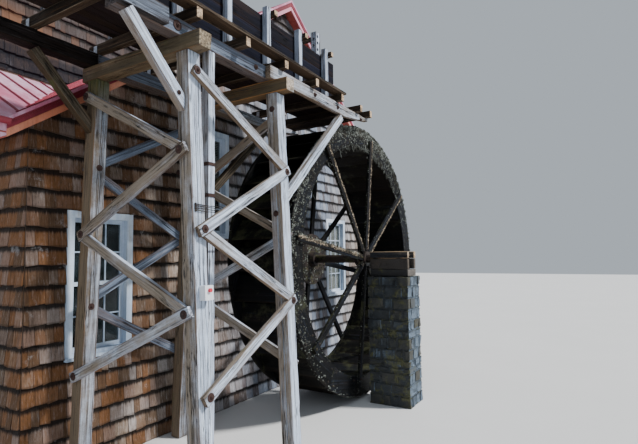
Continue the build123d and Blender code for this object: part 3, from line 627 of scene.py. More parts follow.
def bolt(pile, at, axis, size, washer=0.0):  # washer, nut and the stud's end
    tone = random.random()
    base = 0.007 if washer else 0.0
    if washer:
        disc(pile, at, axis, washer, -0.002, base, 28, 0.35, tone)
    disc(pile, at, axis, size, base - 0.001, base + size * 0.75, 6, 0.22, tone)
    disc(pile, at, axis, size * 0.5, base + size * 0.7, base + size * 1.2, 14, 0.3, tone)

def tube(pile, points, radius, sides=6, taper=0.0):  # round wire or strand along points
    points, last = [Vector(p) for p in points], len(points) - 1
    verts = []
    for k, p in enumerate(points):
        along = (points[min(k + 1, last)] - points[max(k - 1, 0)]).normalized()
        u = along.cross(Vector((0.13, 0.21, 0.97))).normalized()
        v = along.cross(u)
        r = radius * (1 - taper * k / last)
        verts += [tuple(p + (u * cos(a) + v * sin(a)) * r) for a in (tau * s / sides for s in range(sides))]
    ends = [tuple(reversed(range(sides))), tuple(range(last * sides, (last + 1) * sides))]
    pile.add(verts, ringFaces(last, last + 1, sides) + ends)

# trestle
postLook = dict(round=0.012, station=0.12, wear=0.004, chip=0.022, checks=5, checkDepth=0.028)
beamLook = dict(round=0.011, station=0.13, wear=0.004, chip=0.02, checks=4, checkDepth=0.024)
braceLook = dict(round=0.008, station=0.12, wear=0.003, chip=0.014, checks=2, checkDepth=0.018)
boardLook = dict(round=0.005, station=0.2, wear=0.0018, chip=0.008)

dress("worn_outer_posts", ["post_upstream_outer", "post_downstream_outer"], greyTimber, postLook, 0.66)
dress("worn_inner_posts", ["post_upstream_inner", "post_downstream_inner"], innerPostTimber, postLook, 0.2)
capLook = dict(beamLook, wear=0.005, chip=0.022)
dress("worn_cap_upstream", ["cap_upstream"], capTimber, capLook)
dress("worn_cap_downstream", ["cap_downstream"], paleCapTimber, capLook)
braceNodes = dict(
    braces_upstream=(-1, 0, 0), braces_downstream=(1, 0, 0), braces_outer=(0, -1, 0), braces_inner=(0, 1, 0))
dress("worn_braces", ["braces_upstream", "braces_downstream", "braces_outer"], greyTimber, braceLook)
dress("worn_inner_braces", ["braces_inner"], shadedBlueTimber, braceLook)
dress("worn_outer_knees", ["knee_braces"], greyTimber, braceLook, 0.6, -1)
dress("worn_inner_knees", ["knee_braces"], shadedBrownTimber, braceLook, None, 1)
dress("worn_prop", ["prop_post"], greyTimber, dict(braceLook, wear=0.004, checks=3))
dress("worn_upstream_stringers", ["stringers_upstream"], shadeTimber, beamLook, None, -1)
dress("worn_inner_stringer", ["stringers_upstream"], shadowTimber, beamLook, None, 1)
dress("worn_middle_stringers", ["stringers_middle"], shadedBlueTimber, beamLook)
dress("worn_tips", ["stringers_downstream"], greyTimber, beamLook)
print("trestle timbers made")

braceBolts = dict(washer=0.05, nut=0.02, inset=0.085, kneeWasher=0.027, kneeNut=0.016, kneeInset=0.2)

def endsOf(bm, out, inset):  # height, ends from the top and normal of the face that looks out
    along = grainAxes(bm)[0]
    face = max(bm.faces, key=lambda f: f.normal.dot(Vector(out)))
    middle = face.calc_center_median()
    reach = max(abs((v.co - middle).dot(along)) for v in face.verts)
    ends = [middle + along * (way * (reach - inset)) for way in (-1, 1)]
    return middle.z, sorted(ends, key=lambda e: -e.z), face.normal.copy()

def boltBraces(c):  # every second brace holds both of its neighbours' ends
    pile = Pile()
    for node, out in braceNodes.items():
        found = sorted((endsOf(bm, out, c["inset"]) for bm in solids(node)), key=lambda f: -f[0])
        for step, (_, ends, normal) in enumerate(found):
            free = ends[:1] if step == 0 else ends[1:] if step == len(found) - 1 else []
            for end in ends if step % 2 else free:
                bolt(pile, end, normal, c["nut"], c["washer"])
    for bm in solids("knee_braces"):
        _, ends, normal = endsOf(bm, (0, -1 if meanY(bm) < wheelY else 1, 0), c["kneeInset"])
        bolt(pile, ends[1], normal, c["kneeNut"], c["kneeWasher"])
    return pile

washers = boltBraces(braceBolts)
fittings = dict(
    posts=((-5.072, 0.81, 4.1), (-5.086, 0.904, 2.26), (-3.457, -0.86, 5.04), (-3.457, -0.92, 3.5),
           (-3.457, 1.08, 4.3)),
    stringers=(-5.85, -5.2, -3.75, -3.4, -2.3, -1.5, -0.55), height=5.585, outer=(-0.8, -0.9),
    inner=1.07, large=-5.2)

def boltFittings(pile, c):  # on the posts, and through both stringers
    for x, yc, z in c["posts"]:
        bolt(pile, (x, wheelY + yc, z), (0, -1, 0.05) if x < -5 else (-1, 0, 0), 0.02, 0.045)
    for x in c["stringers"]:
        outer, washer = c["outer"][x > -3.3], 0.062 if x == c["large"] else 0.04
        bolt(pile, (x, wheelY + outer, c["height"]), (0, -1, 0), 0.024, washer)
        bolt(pile, (x, wheelY + c["inner"], c["height"]), (0, 1, 0), 0.024, 0.04)
    pile.make("washers_and_nuts", rustyIron, slot="wheel_iron")

boltFittings(washers, fittings)

bracketLook = dict(
    wide=0.07, leg=0.09, thick=0.006, rise=0.11, first=-6.87, pitch=0.89, side=0.885, height=5.685)

def sillBrackets(c):  # an angle bracket at each sill, one leg on the stringer and one up the sill's side
    pile = Pile()
    y, z = wheelY + c["side"], c["height"]
    for x in (c["first"] + c["pitch"] * k - c["thick"] for k in range(7)):
        pile.addSolid(block((x, x + c["thick"]), (y, y + c["wide"]), (z, z + c["rise"])), zAxis, yAxis, 0.5)
        pile.addSolid(block((x - c["leg"], x), (y, y + c["wide"]), (z, z + c["thick"])), tone=0.5)
        for dy, dz in ((0.02, 0.04), (0.05, 0.075)):
            bolt(pile, (x, y + dy, z + dz), (-1, 0, 0), 0.008)
            bolt(pile, (x - dz, y + dy, z + c["thick"]), (0, 0, 1), 0.008)
    pile.make("sill_brackets", zinc, slot="wheel_iron")

sillBrackets(bracketLook)
bandLook = dict(
    middle=(-4.63, wheelY - 0.74), half=0.06, corner=0.012, thick=0.004,
    wide={3.63: 0.045, 4.02: 0.045, 2.95: 0.004, 2.965: 0.004, 3.3: 0.004, 3.312: 0.004, 3.325: 0.004})

def propBands(c):  # hoops of flat iron and of wire round the squared prop
    pile, outline, inset = Pile(), [], c["half"] - c["corner"]
    for sx, sy in ((1, 1), (-1, 1), (-1, -1), (1, -1)):
        for a in (atan2(sy, sx) - pi / 4 + pi / 8 * k for k in range(5)):
            x, y = (s * inset + c["corner"] * way for s, way in ((sx, cos(a)), (sy, sin(a))))
            outline.append((c["middle"][0] + x, c["middle"][1] + y, cos(a), sin(a)))
    for z, wide in c["wide"].items():
        verts = [(x + dx * grow, y + dy * grow, z + rise)
                 for grow, rise in ((0.0005, 0), (c["thick"], 0), (c["thick"], wide), (0.0005, wide))
                 for x, y, dx, dy in outline]
        pile.add(verts, ringFaces(4, 4, len(outline)), tone=0.5)
    pile.make("prop_bands", rustyIron, slot="wheel_iron")

propBands(bandLook)
lashing = dict(
    heights=(3.487, 3.466, 3.441, 3.416), nails=-5.13, wire=0.0052, sag=0.007, steps=12, post=(-1.215, 0.051),
    brace=(-5.078, 3.274, 0.534))

def lashBrace(c):  # loose wires from nails in the outer post to the back of the brace beside it
    pile, steps = Pile(), c["steps"]
    for z in c["heights"]:
        face = wheelY + c["post"][0] + c["post"][1] * z
        far = c["brace"][0] + (z - c["brace"][1]) / c["brace"][2]  # the brace's upper edge at this height
        bolt(pile, (c["nails"], face, z), (0, -1, 0), 0.009, 0.016)
        points = []
        for along in (k / steps for k in range(steps + 1)):
            hang = c["sag"] * uniform(0.6, 1.4) * sin(pi * along) + uniform(-0.002, 0.002)
            x = c["nails"] + (far - c["nails"]) * along
            points.append((x, face - 0.008 + 0.018 * along ** 3, z - hang))
        points += [(far + 0.02, face + 0.012, z - 0.025), (far + 0.03, face + 0.008, z - 0.06)]
        tube(pile, points, c["wire"])
    pile.make("wire_lashing", wetIron, slot="wheel_iron")

lashBrace(lashing)

# flume
dress("worn_sills", ["flume_sills"], sawnTimber, dict(braceLook, round=0.012, wear=0.004, chip=0.02))
dress("worn_flume_floor", ["flume_floor"], flumeTimber, boardLook)
dress("worn_flume_sides", ["flume_side_outer", "flume_side_inner"], flumeTimber, boardLook)
dress("worn_yokes", ["flume_yokes"], gateTimber, braceLook, 0.4)
dress("worn_ties", ["flume_ties"], sawnTimber, dict(braceLook, chip=0.018))
dress("worn_ledge", ["flume_ledge"], sawnTimber, boardLook)
gateLook = dict(hole=0.031, pitch=0.125, first=0.08, pins=8)

def gatePosts(c):  # stems bored on both faces so that the gate can be pinned at any height
    pile, hole = Pile(), c["hole"]
    for bm in solids("gate_stem"):
        low, high = (Vector([pick(v.co[i] for v in bm.verts) for i in range(3)]) for pick in (min, max))
        across = (("X", 0, (low.x * 0.62 + high.x * 0.38, (low.y + high.y) / 2)),
                  ("Y", 0.5, ((low.x + high.x) / 2, low.y * 0.45 + high.y * 0.55)))
        cutter = bmesh.new()
        for k in range(c["pins"]):
            for axis, shift, at in across:
                place = Matrix.Translation((*at, high.z - c["first"] - (k + shift) * c["pitch"]))
                bmesh.ops.create_cone(
                    cutter, cap_ends=True, segments=14, radius1=hole, radius2=hole, depth=0.4,
                    matrix=place @ Matrix.Rotation(pi / 2, 4, axis))
        stem, borer = link("stem", meshFrom("stem", bm)), link("borer", meshFrom("borer", cutter))
        cut = stem.modifiers.new("holes", "BOOLEAN")
        cut.object, cut.operation, cut.solver, cut.use_self = borer, "DIFFERENCE", "EXACT", True
        bpy.context.view_layer.update()
        bored = bmesh.new()
        bored.from_mesh(stem.evaluated_get(bpy.context.evaluated_depsgraph_get()).to_mesh())
        pile.addSolid(bored, zAxis, yAxis)
        for made in (stem, borer):
            bpy.data.objects.remove(made)
    pile.make("gate_posts", gateTimber, nodes=["gate_stem"])

gatePosts(gateLook)
dress("gate_crosshead", ["gate_bar"], sawnTimber, boardLook)
print("flume made")

# wheel
wheelLook = dict(round=0.008, station=0.16, wear=0.0025, chip=0.012)
for name, nodes, changes in (("wet_rim", ["shroud_outer", "shroud_inner"], {"crosswise": True}),
                             ("wet_spokes", ["spokes_outer", "spokes_inner"], {}),
                             ("wet_sole", ["sole"], {"station": 0.25, "chip": 0.006}),
                             ("wet_buckets", ["buckets"], {"station": 0.25, "round": 0.005})):
    dress(name, nodes, wetTimber, dict(wheelLook, **changes), body="wheel")

def wheelPoint(r, degrees, yc):
    a = radians(degrees)
    return Vector((r * cos(a), wheelY + yc, axleZ + r * sin(a)))

spokeAngles = [36.5 + 45 * k for k in range(8)]
wheelStuds = dict(
    spokes=(0.19, 0.235, 2.4, 2.52), spokeFace=0.71, rims=(2.42, 2.66), rimFace=0.65, beside=2.2, flange=0.5,
    flangeFace=0.612)
bearingStuds = dict(wall=0.215, wallFace=1.355, x=(-0.095, 0.095), y=(-1.34, -1.16), top=2.645)

def wheelBolts(c):
    pile = Pile()
    for side in (-1, 1):
        for a in spokeAngles:
            for r in c["spokes"]:
                bolt(pile, wheelPoint(r, a, side * c["spokeFace"]), (0, side, 0), 0.013, 0.024)
        for a in (11.25 + 22.5 * k for k in range(16)):  # rim joints
            for r, way in ((r, way) for way in (-1, 1) for r in c["rims"]):
                at = wheelPoint(r, a + way * c["beside"], side * c["rimFace"])
                bolt(pile, at, (0, side, 0), 0.011, 0.02)
    for k in range(16):
        bolt(pile, wheelPoint(c["flange"], 22.5 * k + 5, c["flangeFace"]), (0, -1, 0), 0.014, 0.024)
    pile.make("wheel_bolts", wetIron, "wheel", slot="wheel_iron")

def bearingBolts(c):
    pile = Pile()
    for k in range(8):
        bolt(pile, wheelPoint(c["wall"], 45 * k + 22.5, c["wallFace"]), (0, -1, 0), 0.016, 0.028)
    for x, y in ((x, y) for x in c["x"] for y in c["y"]):
        bolt(pile, (x, wheelY + y, c["top"]), (0, 0, 1), 0.012, 0.02)
    pile.make("bearing_bolts", wetIron, slot="wheel_iron")

wheelBolts(wheelStuds)
bearingBolts(bearingStuds)

# moss: dabs over the wheel, each squashed along the normal under it
mossLook = dict(
    rim=2300, face=2300, bare=64, left=1300, flecks=500, spoke=420, edges=900, hub=320, strands=420)
crustLook = dict(
    lumps=460, inner=0.2, outer=2.6, size=(0.006, 0.014), strip=(0.012, 0.062, 0.056), flattest=171.5,
    wide=(-0.02, 0.062, 0.04))
ball = bmesh.new()
bmesh.ops.create_icosphere(ball, subdivisions=1, radius=1)
ballVerts, ballFaces = np.array([v.co for v in ball.verts]), [[v.index for v in f.verts] for f in ball.faces]

def dab(pile, at, normal, size, flat=0.5):
    turn = np.array(Vector(normal).normalized().to_track_quat("Z", "Y").to_matrix())
    swell = np.array([uniform(0.55, 1.35) for _ in ballVerts])
    shape = ballVerts * swell[:, None] * np.array([size, size * uniform(0.6, 1.1), size * flat])
    pile.add(shape @ turn.T + np.array(at), ballFaces)

def acrossSpoke(degrees, step):  # a step square to a spoke, on the side where angles grow
    a = radians(degrees)
    return Vector((-sin(a), 0, cos(a))) * step

def growMoss(c):  # thick on the rim's top, thinner round it, beaded along the spokes' edges
    pile, out = Pile(), (0, -1, 0)
    for step in range(c["rim"]):
        a = gauss(75, 40) if step % 4 else uniform(0, 360)
        thick = 0.6 + 0.6 * max(0, sin(radians(a)))
        dab(pile, wheelPoint(2.73 + uniform(-0.02, 0.012), a, uniform(-0.655, -0.56)),
            wheelPoint(1, a, 0) - wheelPoint(0, a, 0), uniform(0.014, 0.036) * thick, 0.75)
    for _ in range(c["face"]):
        a = gauss(80, 26)
        if a > c["bare"] or random.random() > 0.7:
            dab(pile, wheelPoint(2.74 - abs(gauss(0, 0.14)), a, -0.651), out, uniform(0.008, 0.026))
    for _ in range(c["left"]):  # straw and drips down the upstream side of the rim
        a = gauss(160, 30)
        dab(pile, wheelPoint(2.735 - abs(gauss(0, 0.16)), a, -0.651), out, uniform(0.006, 0.02), 0.6)
    for _ in range(c["flecks"]):
        a, inner = uniform(0, 360), random.random() < 0.4
        r = 2.34 + abs(gauss(0, 0.03)) if inner else 2.73 - abs(gauss(0, 0.07))
        dab(pile, wheelPoint(r, a, -0.652), out, uniform(0.006, 0.018))
    for _ in range(c["spoke"]):
        at = wheelPoint(uniform(0.3, 2.6), crustLook["flattest"], uniform(-0.71, -0.655))
        dab(pile, at + zAxis * uniform(0.035, 0.06), (0.1, -0.2, 1), uniform(0.012, 0.03), 0.8)
    for _ in range(c["edges"]):
        a = choice(spokeAngles)
        side = acrossSpoke(a, choice((-0.055, 0.055)))
        at = wheelPoint(uniform(0.25, 2.65), a, uniform(-0.71, -0.66)) + side
        dab(pile, at, side, uniform(0.006, 0.015), 0.8)
    for _ in range(c["hub"]):
        a, r = uniform(0, 360), uniform(0.2, 0.54)
        dab(pile, wheelPoint(r, a, 0.61), out, uniform(0.01, 0.03), 0.4)
    for _ in range(c["strands"]):  # dead roots that hang from the rim and curl round the spokes
        top = random.random() < 0.8
        a = gauss(70, 28) if top else choice(spokeAngles)
        r = uniform(2.3, 2.4 if a > c["bare"] else 2.72) if top else uniform(0.2, 1.0)
        p = wheelPoint(r, a, uniform(-0.69, -0.66))
        drift = Vector((uniform(-0.5, 0.5), uniform(-0.12, 0.0), -1))
        points = []
        for _ in range(7):
            points.append(p.copy())
            drift += Vector((uniform(-0.7, 0.7), uniform(-0.1, 0.1), uniform(-0.2, 0.4)))
            p += drift.normalized() * uniform(0.012, 0.03)
            p.y = max(p.y, wheelY - 0.72)
        tube(pile, points, uniform(0.003, 0.006), 5, 0.7)
    pile.make("rim_moss", moss, "wheel", slot="wheel_timber", sharp=180)

def growCrust(c):  # dried growth along the sunny edge of the four upper spokes
    pile = Pile()
    for a in spokeAngles[:4]:
        thick = a == c["flattest"]  # more stays on that one
        for _ in range(c["lumps"] * (1 + thick)):
            at = wheelPoint(uniform(c["inner"], c["outer"]), a, uniform(-0.716, -0.704))
            at -= acrossSpoke(a, random.triangular(*c["wide" if thick else "strip"]))
            dab(pile, at, (0, -1, 0), uniform(*c["size"]), 0.7)
    pile.make("spoke_crust", crust, "wheel", slot="wheel_timber", sharp=180)

growMoss(mossLook)
growCrust(crustLook)
print("wheel made")

# pier
pierLook = dict(
    course=(0.1, 0.22), width=(0.15, 0.4), joint=0.02, deep=0.13, rough=0.02, sunk=0.022, round=0.022)
slabLook = dict(round=0.014, station=0.07, wear=0.006, chip=0.018, split=0.07)

def roundStone(pile, x, y, z, c):
    bm = block(x, y, z)
    soften(bm, c["round"], 0.6)
    long = [e for e in bm.edges if e.calc_length() > 0.05]
    bmesh.ops.subdivide_edges(bm, edges=long, cuts=2, use_grid_fill=True)
    bm.normal_update()
    seed, sunk = Vector((uniform(0, 99), 0, 0)), uniform(0, c["sunk"])
    for v in bm.verts:
        swell = noise.noise(v.co * 8 + seed) * 0.8 + noise.noise(v.co * 26 + seed) * 0.5
        v.co -= v.normal * (c["rough"] * max(0, 0.5 + swell) + sunk * (abs(v.normal.z) < 0.5))
    pile.addSolid(bm)

def runs(low, high, least, most):  # split a length into uneven pieces
    cuts = [low]
    while high - cuts[-1] > most:
        cuts.append(cuts[-1] + uniform(least, min(most, max(least, high - cuts[-1] - least))))
    return list(zip(cuts, cuts[1:] + [high]))

def buildPier(c):  # four faces of coursed stones round a plain core, the corners taken in turn
    pile = Pile()
    (x0, y0, _), (x1, y1, head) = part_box("pier")
    joint, deep = c["joint"] / 2, c["deep"]

    def jointed(a, b, low, high):  # no joint at the pier's own corners
        return a + joint * (a > low), b - joint * (b < high)

    for step, (z0, z1) in enumerate(runs(0.0, head, *c["course"])):
        z = (z0 + (joint if step else 0), z1 - joint if z1 < head - 0.001 else z1)
        corner = deep if step % 2 else 0.0
        back = deep - corner
        for way, x, y in ((-1, x0, y0), (1, x1, y1)):
            for a, b in runs(y0 + corner, y1 - corner, *c["width"]):
                roundStone(pile, sorted((x, x - way * deep)), jointed(a, b, y0, y1), z, c)
            for a, b in runs(x0 + back, x1 - back, *c["width"]):
                roundStone(pile, jointed(a, b, x0, x1), sorted((y, y - way * deep)), z, c)
    pile.addSolid(block((x0 + 0.03, x1 - 0.03), (y0 + 0.03, y1 - 0.03), (0.0, head - 0.01)), tone=0.0)
    pile.make("pier_stones", rubble, nodes=["pier"], sharp=60)

buildPier(pierLook)
dress("pier_slabs", ["pier_seat", "pier_cheeks"], slabStone, slabLook)
dress("pier_boards", ["pier_curbs"], litCurbTimber, dict(beamLook, station=0.08))
print("pier made")

# shingled walls: u runs along the wall from its start, z up
shingleLook = dict(course=0.255, width=(0.1, 0.23), gap=0.006, butt=0.036, top=0.006, ragged=0.009)
roofSlope, ridgeX, ridgeTop = 0.711, 0.09, 8.985
houseX, eavesZ = (-5.69, 5.87), 9.48
faceY, mainY, backY = wheelY + 1.4, wheelY + 4.1, wheelY + 7.7
halfDeep, sideTop, roofDepth = 1.8, 4.6, 0.255  # of the taller block, the side walls and the gable roof
leanRoofs = dict(height=6.275, left=-3.449, right=3.629)
windowSize, casing, shaftHole = (0.87, 1.89), 0.092, 0.18
frontWindows = ((-5.06, 1.585), (-2.85, 3.325), (2.04, 1.89))
backWindows = [(x, z) for z in (1.6, 5.6) for x in (-4.1, -0.35, 3.4)]
endWindows = [(1.365, z) for z in (1.6, 5.6)]

def withoutHoles(spans, holes):  # what is left of rectangles beside, below and above the holes
    for left, right, low, high in holes:
        cut = []
        for s0, s1, t0, t1 in spans:
            if s1 <= left or s0 >= right or t1 <= low or t0 >= high:
                cut.append((s0, s1, t0, t1))
                continue
            a, b = max(s0, left), min(s1, right)
            cut += [(s0, left, t0, t1)] if s0 < left else []
            cut += [(right, s1, t0, t1)] if s1 > right else []
            cut += [(a, b, t0, low)] if t0 < low else []
            cut += [(a, b, high, t1)] if t1 > high + 0.03 else []
        spans = cut
    return spans

def shingleWall(pile, c, start, along, out, length, holes, top, bottom=lambda u: 0.0):
    start, along, out = (Vector(v) for v in (start, along, out))
    highest = max(top(u) for u in np.linspace(0, length, 41))
    for row in range(int(highest / c["course"]) + 1):
        z = row * c["course"]
        u = -uniform(0, 0.1)
        while u < length:
            wide = uniform(*c["width"])
            whole = (max(u, 0.001), min(u + wide, length - 0.001), z, z + c["course"] + 0.02)
            u += wide
            for s0, s1, t0, t1 in withoutHoles([whole], holes):
                if s1 - s0 > 0.02 and t1 - t0 > 0.02:
                    oneShingle(pile, c, start, along, out, (s0, s1), (t0, t1, z), top, bottom)

def oneShingle(pile, c, start, along, out, u, z, top, bottom):
    low, high, course = z
    middle = sum(u) / 2
    if top(middle) < low + 0.01 or bottom(middle) > high - 0.02:
        return
    gap = c["gap"] * uniform(0.3, 1.4) / 2
    drop = uniform(-1, 1) * c["ragged"] if low == course and low > 0 else 0.0
    lean, cup, fat = uniform(-0.012, 0.012), uniform(-0.003, 0.004), uniform(0.75, 1.25)
    verts, grain = [], []
    seed = uniform(0, 40)
    for layer, row, column in ((a, b, d) for a in (0, 1) for b in range(3) for d in range(3)):
        s = u[0] + gap + (u[1] - u[0] - 2 * gap) * column / 2
        t = low + (high - low) * row / 2
        if row == 0:
            t += drop + lean * (column - 1) + uniform(-0.0025, 0.0025)
        t = min(max(t, bottom(s) + 0.002), top(s) - 0.004)
        rise = min(max((t - course) / c["course"], 0), 1)
        swell = (c["butt"] * (1 - rise) + c["top"] * rise) * fat + cup * (column == 1) * (1 - rise)
        depth = swell if layer else 0.001
        verts.append(tuple(start + along * s + out * max(depth, 0.001) + Vector((0, 0, t))))
        grain.append((s + seed, t - course, seed + depth))
    faces = []
    for k in (0, 1, 3, 4):
        faces += [(9 + k, 10 + k, 13 + k, 12 + k), (k, 3 + k, 4 + k, 1 + k)]
    edge = [0, 1, 2, 5, 8, 7, 6, 3]
    faces += [(a, b, b + 9, a + 9) for a, b in zip(edge, edge[1:] + edge[:1])]
    if along.cross(zAxis).dot(out) < 0:
        faces = [tuple(reversed(f)) for f in faces]
    pile.add(verts, faces, grain)

def gableTop(x):
    return ridgeTop - roofSlope * abs(x - ridgeX)

def leanTop(x):  # where the lean-to roofs meet the taller block
    return 0.0 if leanRoofs["left"] <= x <= leanRoofs["right"] else leanRoofs["height"]

def dressWalls(c):
    low, high = Pile(), Pile()
    left, length = houseX[0], houseX[1] - houseX[0]

    def around(windows, start=left):  # the holes that the windows' casings need
        wide, tall = windowSize
        return [(x - start - casing, x - start + wide + casing, z - casing, z + tall + casing)
                for x, z in windows]

    shaft = (-shaftHole - left, shaftHole - left, axleZ - shaftHole, axleZ + shaftHole)
    shingleWall(low, c, (left, faceY, 0), xAxis, -yAxis, length, around(frontWindows) + [shaft],
                lambda u: gableTop(u + left) - roofDepth)
    for x, way in zip(houseX, (-1, 1)):
        shingleWall(low, c, (x, faceY, 0), yAxis, xAxis * way, mainY - faceY, [], lambda u: sideTop)
        shingleWall(high, c, (x, mainY, 0), yAxis, xAxis * way, backY - mainY, around(endWindows, 0),
                    lambda u: eavesZ + roofSlope * (halfDeep - abs(u - halfDeep)))
    shingleWall(high, c, (left, mainY, 0), xAxis, -yAxis, length, [], lambda u: eavesZ,
                lambda u: max(gableTop(u + left), leanTop(u + left)))
    shingleWall(high, c, (left, backY, 0), xAxis, yAxis, length, around(backWindows), lambda u: eavesZ)
    low.make("lower_shingles", lowShingles, slot="shingle_wall", smooth=False)
    high.make("upper_shingles", highShingles, slot="upper_wall", smooth=False)

dressWalls(shingleLook)
print("walls shingled")

# roofs: pans and ribs on top, boards below, inside the CAD roof's own thickness
roofLook = dict(pitch=0.405, rib=0.026, ribWidth=0.022, ridge=0.17, board=0.138, boardThick=0.018)

def clipped(points, axis, low, high):  # part of a convex outline between two levels along an axis
    for sign, limit in ((1, low), (-1, high)):
        kept = []
        for a, b in zip(points, points[1:] + points[:1]):
            da, db = sign * (a.dot(axis) - limit), sign * (b.dot(axis) - limit)
            if da >= 0:
                kept.append(a)
            if da * db < 0:
                kept.append(a.lerp(b, da / (da - db)))
        points = kept
    return points

def plate(pile, points, lift, tone=None):  # an outline given a thickness
    n = len(points)
    verts = [tuple(p) for p in points] + [tuple(p + lift) for p in points]
    faces = [tuple(range(n, 2 * n)), tuple(reversed(range(n)))]
    faces += [(i, (i + 1) % n, n + (i + 1) % n, n + i) for i in range(n)]
    pile.add(verts, faces, tone=tone)

def seamRoof(name, nodes, c, ridged=True):
    metal, boards = Pile(), Pile()
    for bm in (bm for node in nodes for bm in solids(node)):
        bmesh.ops.recalc_face_normals(bm, faces=bm.faces)
        top, under = (pick(bm.faces, key=lambda f: f.normal.z * f.calc_area()) for pick in (max, min))
        n = top.normal.copy()
        level = Vector((-n.y, n.x, 0)).normalized()
        fall = level.cross(n).normalized()
        fall = fall if fall.z < 0 else -fall
        outline, below = ([v.co.copy() for v in face.verts] for face in (top, under))
        (head, eave), (left, right), (first, last) = (
            (min(p.dot(axis) for p in points), max(p.dot(axis) for p in points))
            for points, axis in ((outline, fall), (outline, level), (below, fall)))
        start = head + (c["ridge"] if ridged else 0.02)
        count = max(1, round((right - left) / c["pitch"]))
        for step in range(count + 1):
            at = min(max(left + (right - left) * step / count, left + 0.03), right - 0.03)
            rib = clipped(outline, level, at - c["ribWidth"] / 2, at + c["ribWidth"] / 2)
            rib = clipped(rib, fall, start, 99)
            if len(rib) > 2:
                plate(metal, [p - n * 0.001 for p in rib], -n * c["rib"], 0.8)
        if ridged:
            plate(metal, clipped(outline, fall, head, start - 0.001), -n * c["rib"], 0.5)
        plate(metal, clipped(outline, fall, eave - 0.05, eave), -n * 0.028, 0.4)
        while first < last - 0.02:
            strip = clipped(below, fall, first, min(first + c["board"] - 0.006, last))
            if len(strip) > 2:
                plate(boards, strip, Vector((0, 0, c["boardThick"] / n.z)))
            first += c["board"]
        for face, lift in ((top, -c["rib"]), (under, c["boardThick"] - 0.004)):
            for v in face.verts:
                v.co.z += lift / n.z
        bm.verts.index_update()
        metal.add([v.co[:] for v in bm.verts], [[v.index for v in f.verts] for f in bm.faces], tone=0.5)
    metal.make(name + "_metal", redRoof, nodes=nodes, sharp=20)
    boards.make(name + "_soffit", soffitBoard, slot="roof_trim", smooth=False)

seamRoof("gable_roof", ["gable_roof_upstream", "gable_roof_downstream"], roofLook)
seamRoof("lean_roof", ["lean_to_roofs"], roofLook, False)
seamRoof("main_roof", ["main_roof_front", "main_roof_back"], roofLook)
rakeLook = dict(
    depth=0.25, soft=0.004, steps=((0.0, 0.2, 0.0), (0.2, 0.34, 0.01), (0.34, 0.6, 0.004), (0.6, 1.0, 0.016)))

def rakeBoards(c):  # metal flange, two dark boards and a pale board below, each set back a little
    flange, dark, pale = Pile(), Pile(), Pile()
    low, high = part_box("rake_fascia")
    for eaveX in (low[0], high[0]):
        heads = [Vector((eaveX, low[1], low[2] + c["depth"])), Vector((ridgeX, low[1], high[2]))]
        for pile, (a, b, back) in zip((flange, dark, dark, pale), c["steps"]):
            face = low[1] + back
            board = boxSolid([(p.x, y, p.z - drop * c["depth"]) for p in heads
                              for y, drop in ((face, a), (high[1], a), (high[1], b), (face, b))])
            soften(board, c["soft"])
            pile.addSolid(board, (heads[1] - heads[0]).normalized(), yAxis, 0.5)
    flange.make("rake_flange", redRoof, slot="roof_trim")
    dark.make("rake_boards", redTrim, nodes=["rake_fascia"])
    pale.make("rake_lower_boards", rakeBoard, slot="roof_trim")

rakeBoards(rakeLook)
print("roofs made")

# windows
glazing = dict(
    bar=0.022, columns=3, wide=0.734, tall=0.848, sash=0.058, barDepth=(-0.084, -0.066), slat=0.034,
    slatDepth=(-0.136, -0.126), blind=(0.41, 0.92), drawn=(0.45, 0.97))
halfWide, halfTall = (v / 2 for v in windowSize)
places = [((x + halfWide, faceY, z + halfTall), xAxis, -yAxis) for x, z in frontWindows]
places += [((x + halfWide, backY, z + halfTall), -xAxis, yAxis) for x, z in backWindows]
places += [((x, mainY + halfDeep, z + halfTall), yAxis * way, xAxis * way)
           for x, way in zip(houseX, (-1, 1)) for _, z in endWindows]

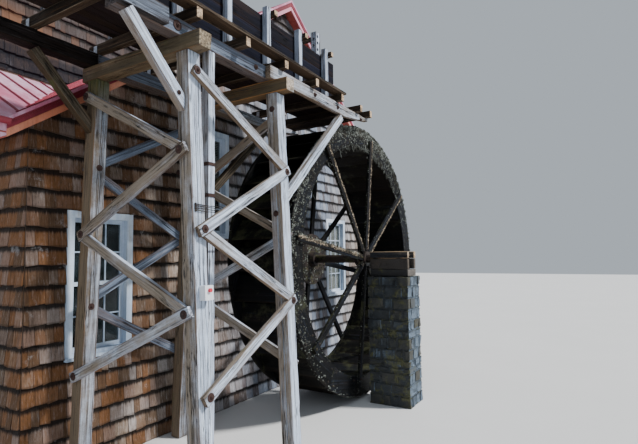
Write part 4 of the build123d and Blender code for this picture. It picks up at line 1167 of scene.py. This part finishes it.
def glaze(c):
    bars, blinds, drawn = Pile(), Pile(), {1: c["drawn"][0], 2: c["drawn"][1], 0: 0.0}
    half, thin, slat, (reach, top) = c["wide"] / 2, c["bar"] / 2, c["slat"], c["blind"]
    for number, (centre, right, out) in enumerate(places):
        def place(a, b, d):  # across the window, up it and out of it
            return Vector(centre) + right * a + Vector((0, 0, b)) + out * d

        for way in (-1, 1):  # the lower sash and the upper one
            y = way * (c["tall"] + c["sash"]) / 2
            columns = [-half + c["wide"] * k / c["columns"] for k in range(1, c["columns"])]
            spans = [((x - thin, x + thin), (y - c["tall"] / 2, y + c["tall"] / 2)) for x in columns]
            for across, up in spans + [((-half, half), (y - thin, y + thin))]:
                bm = block(across, up, c["barDepth"], place)
                soften(bm, 0.004)
                bars.addSolid(bm, zAxis, right, 0.5)
        foot = top - 2 * top * drawn.get(number, uniform(0.25, 0.9))
        y = top
        while y > foot:
            bm = block((-reach, reach), (y - slat * 0.86, y), c["slatDepth"], place)
            for v in bm.verts:  # each slat tilted
                v.co += out * 0.012 * (1 if v.co.z < centre[2] + y - slat * 0.4 else -1)
            blinds.addSolid(bm, right, zAxis, 0.4)
            y -= slat
    bars.make("window_bars", whitePaint, slot="window_frame")
    blinds.make("window_blinds", creamPaint, slot="window_frame")

glaze(glazing)
print("windows glazed")

# CAD nodes that stay as they are
sheathing = paint("wall sheathing", dict(
    deep=(0.045, 0.03, 0.022), light=(0.1, 0.07, 0.05), dirt=(0.02, 0.015, 0.012), runs=0.5, specks=0.3,
    rough=0.85))
asTheyAre = {
    wetIron: ("hub_outer", "hub_inner", "wheel_shaft", "bearing_outer", "wall_bearing"),
    sheathing: ("front_wall", "gable_side_walls", "main_front_wall", "main_back_wall", "main_end_walls"),
    whitePaint: ("gable_window_frames", "main_window_frames"),
    glass: ("gable_window_glass", "main_window_glass"), redTrim: ("gutters",), casePaint: ("switch_box",),
    buttonRed: ("switch_button",)}
for material, nodes in asTheyAre.items():
    for node in nodes:
        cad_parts[node].data.materials.clear()
        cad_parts[node].data.materials.append(material)
dress("house_floor_boards", ["floors"], innerBoards, dict(round=0.004, station=1.0, wear=0.001, chip=0.002))

# stage and light
lights = (("key", 5.8, 8, (46, 0, 24), (1.0, 0.99, 0.97)), ("fill", 0.5, 40, (60, 0, -70), (0.8, 0.88, 1.0)))

def makeStage():
    bm = bmesh.new()
    bmesh.ops.create_grid(bm, x_segments=1, y_segments=1, size=60)
    floor = link("floor", meshFrom("floor", bm))
    m = Material("pale floor")
    colour = m.place.noise(0.4, 3).blend((0.6, 0.6, 0.6), (0.66, 0.66, 0.655))
    floor.data.materials.append(m.set(colour, 0.85))
    scene.world = bpy.data.worlds.new("studio")
    scene.world.use_nodes = True
    sky = scene.world.node_tree.nodes["Background"].inputs
    sky["Color"].default_value, sky["Strength"].default_value = (0.82, 0.91, 1.0, 1), 0.55
    for name, energy, angle, turn, tint in lights:
        light = bpy.data.lights.new(name, "SUN")
        light.energy, light.angle, light.color = energy, radians(angle), tint
        link(name, light).rotation_euler = [radians(a) for a in turn]

makeStage()
print("stage and light made")
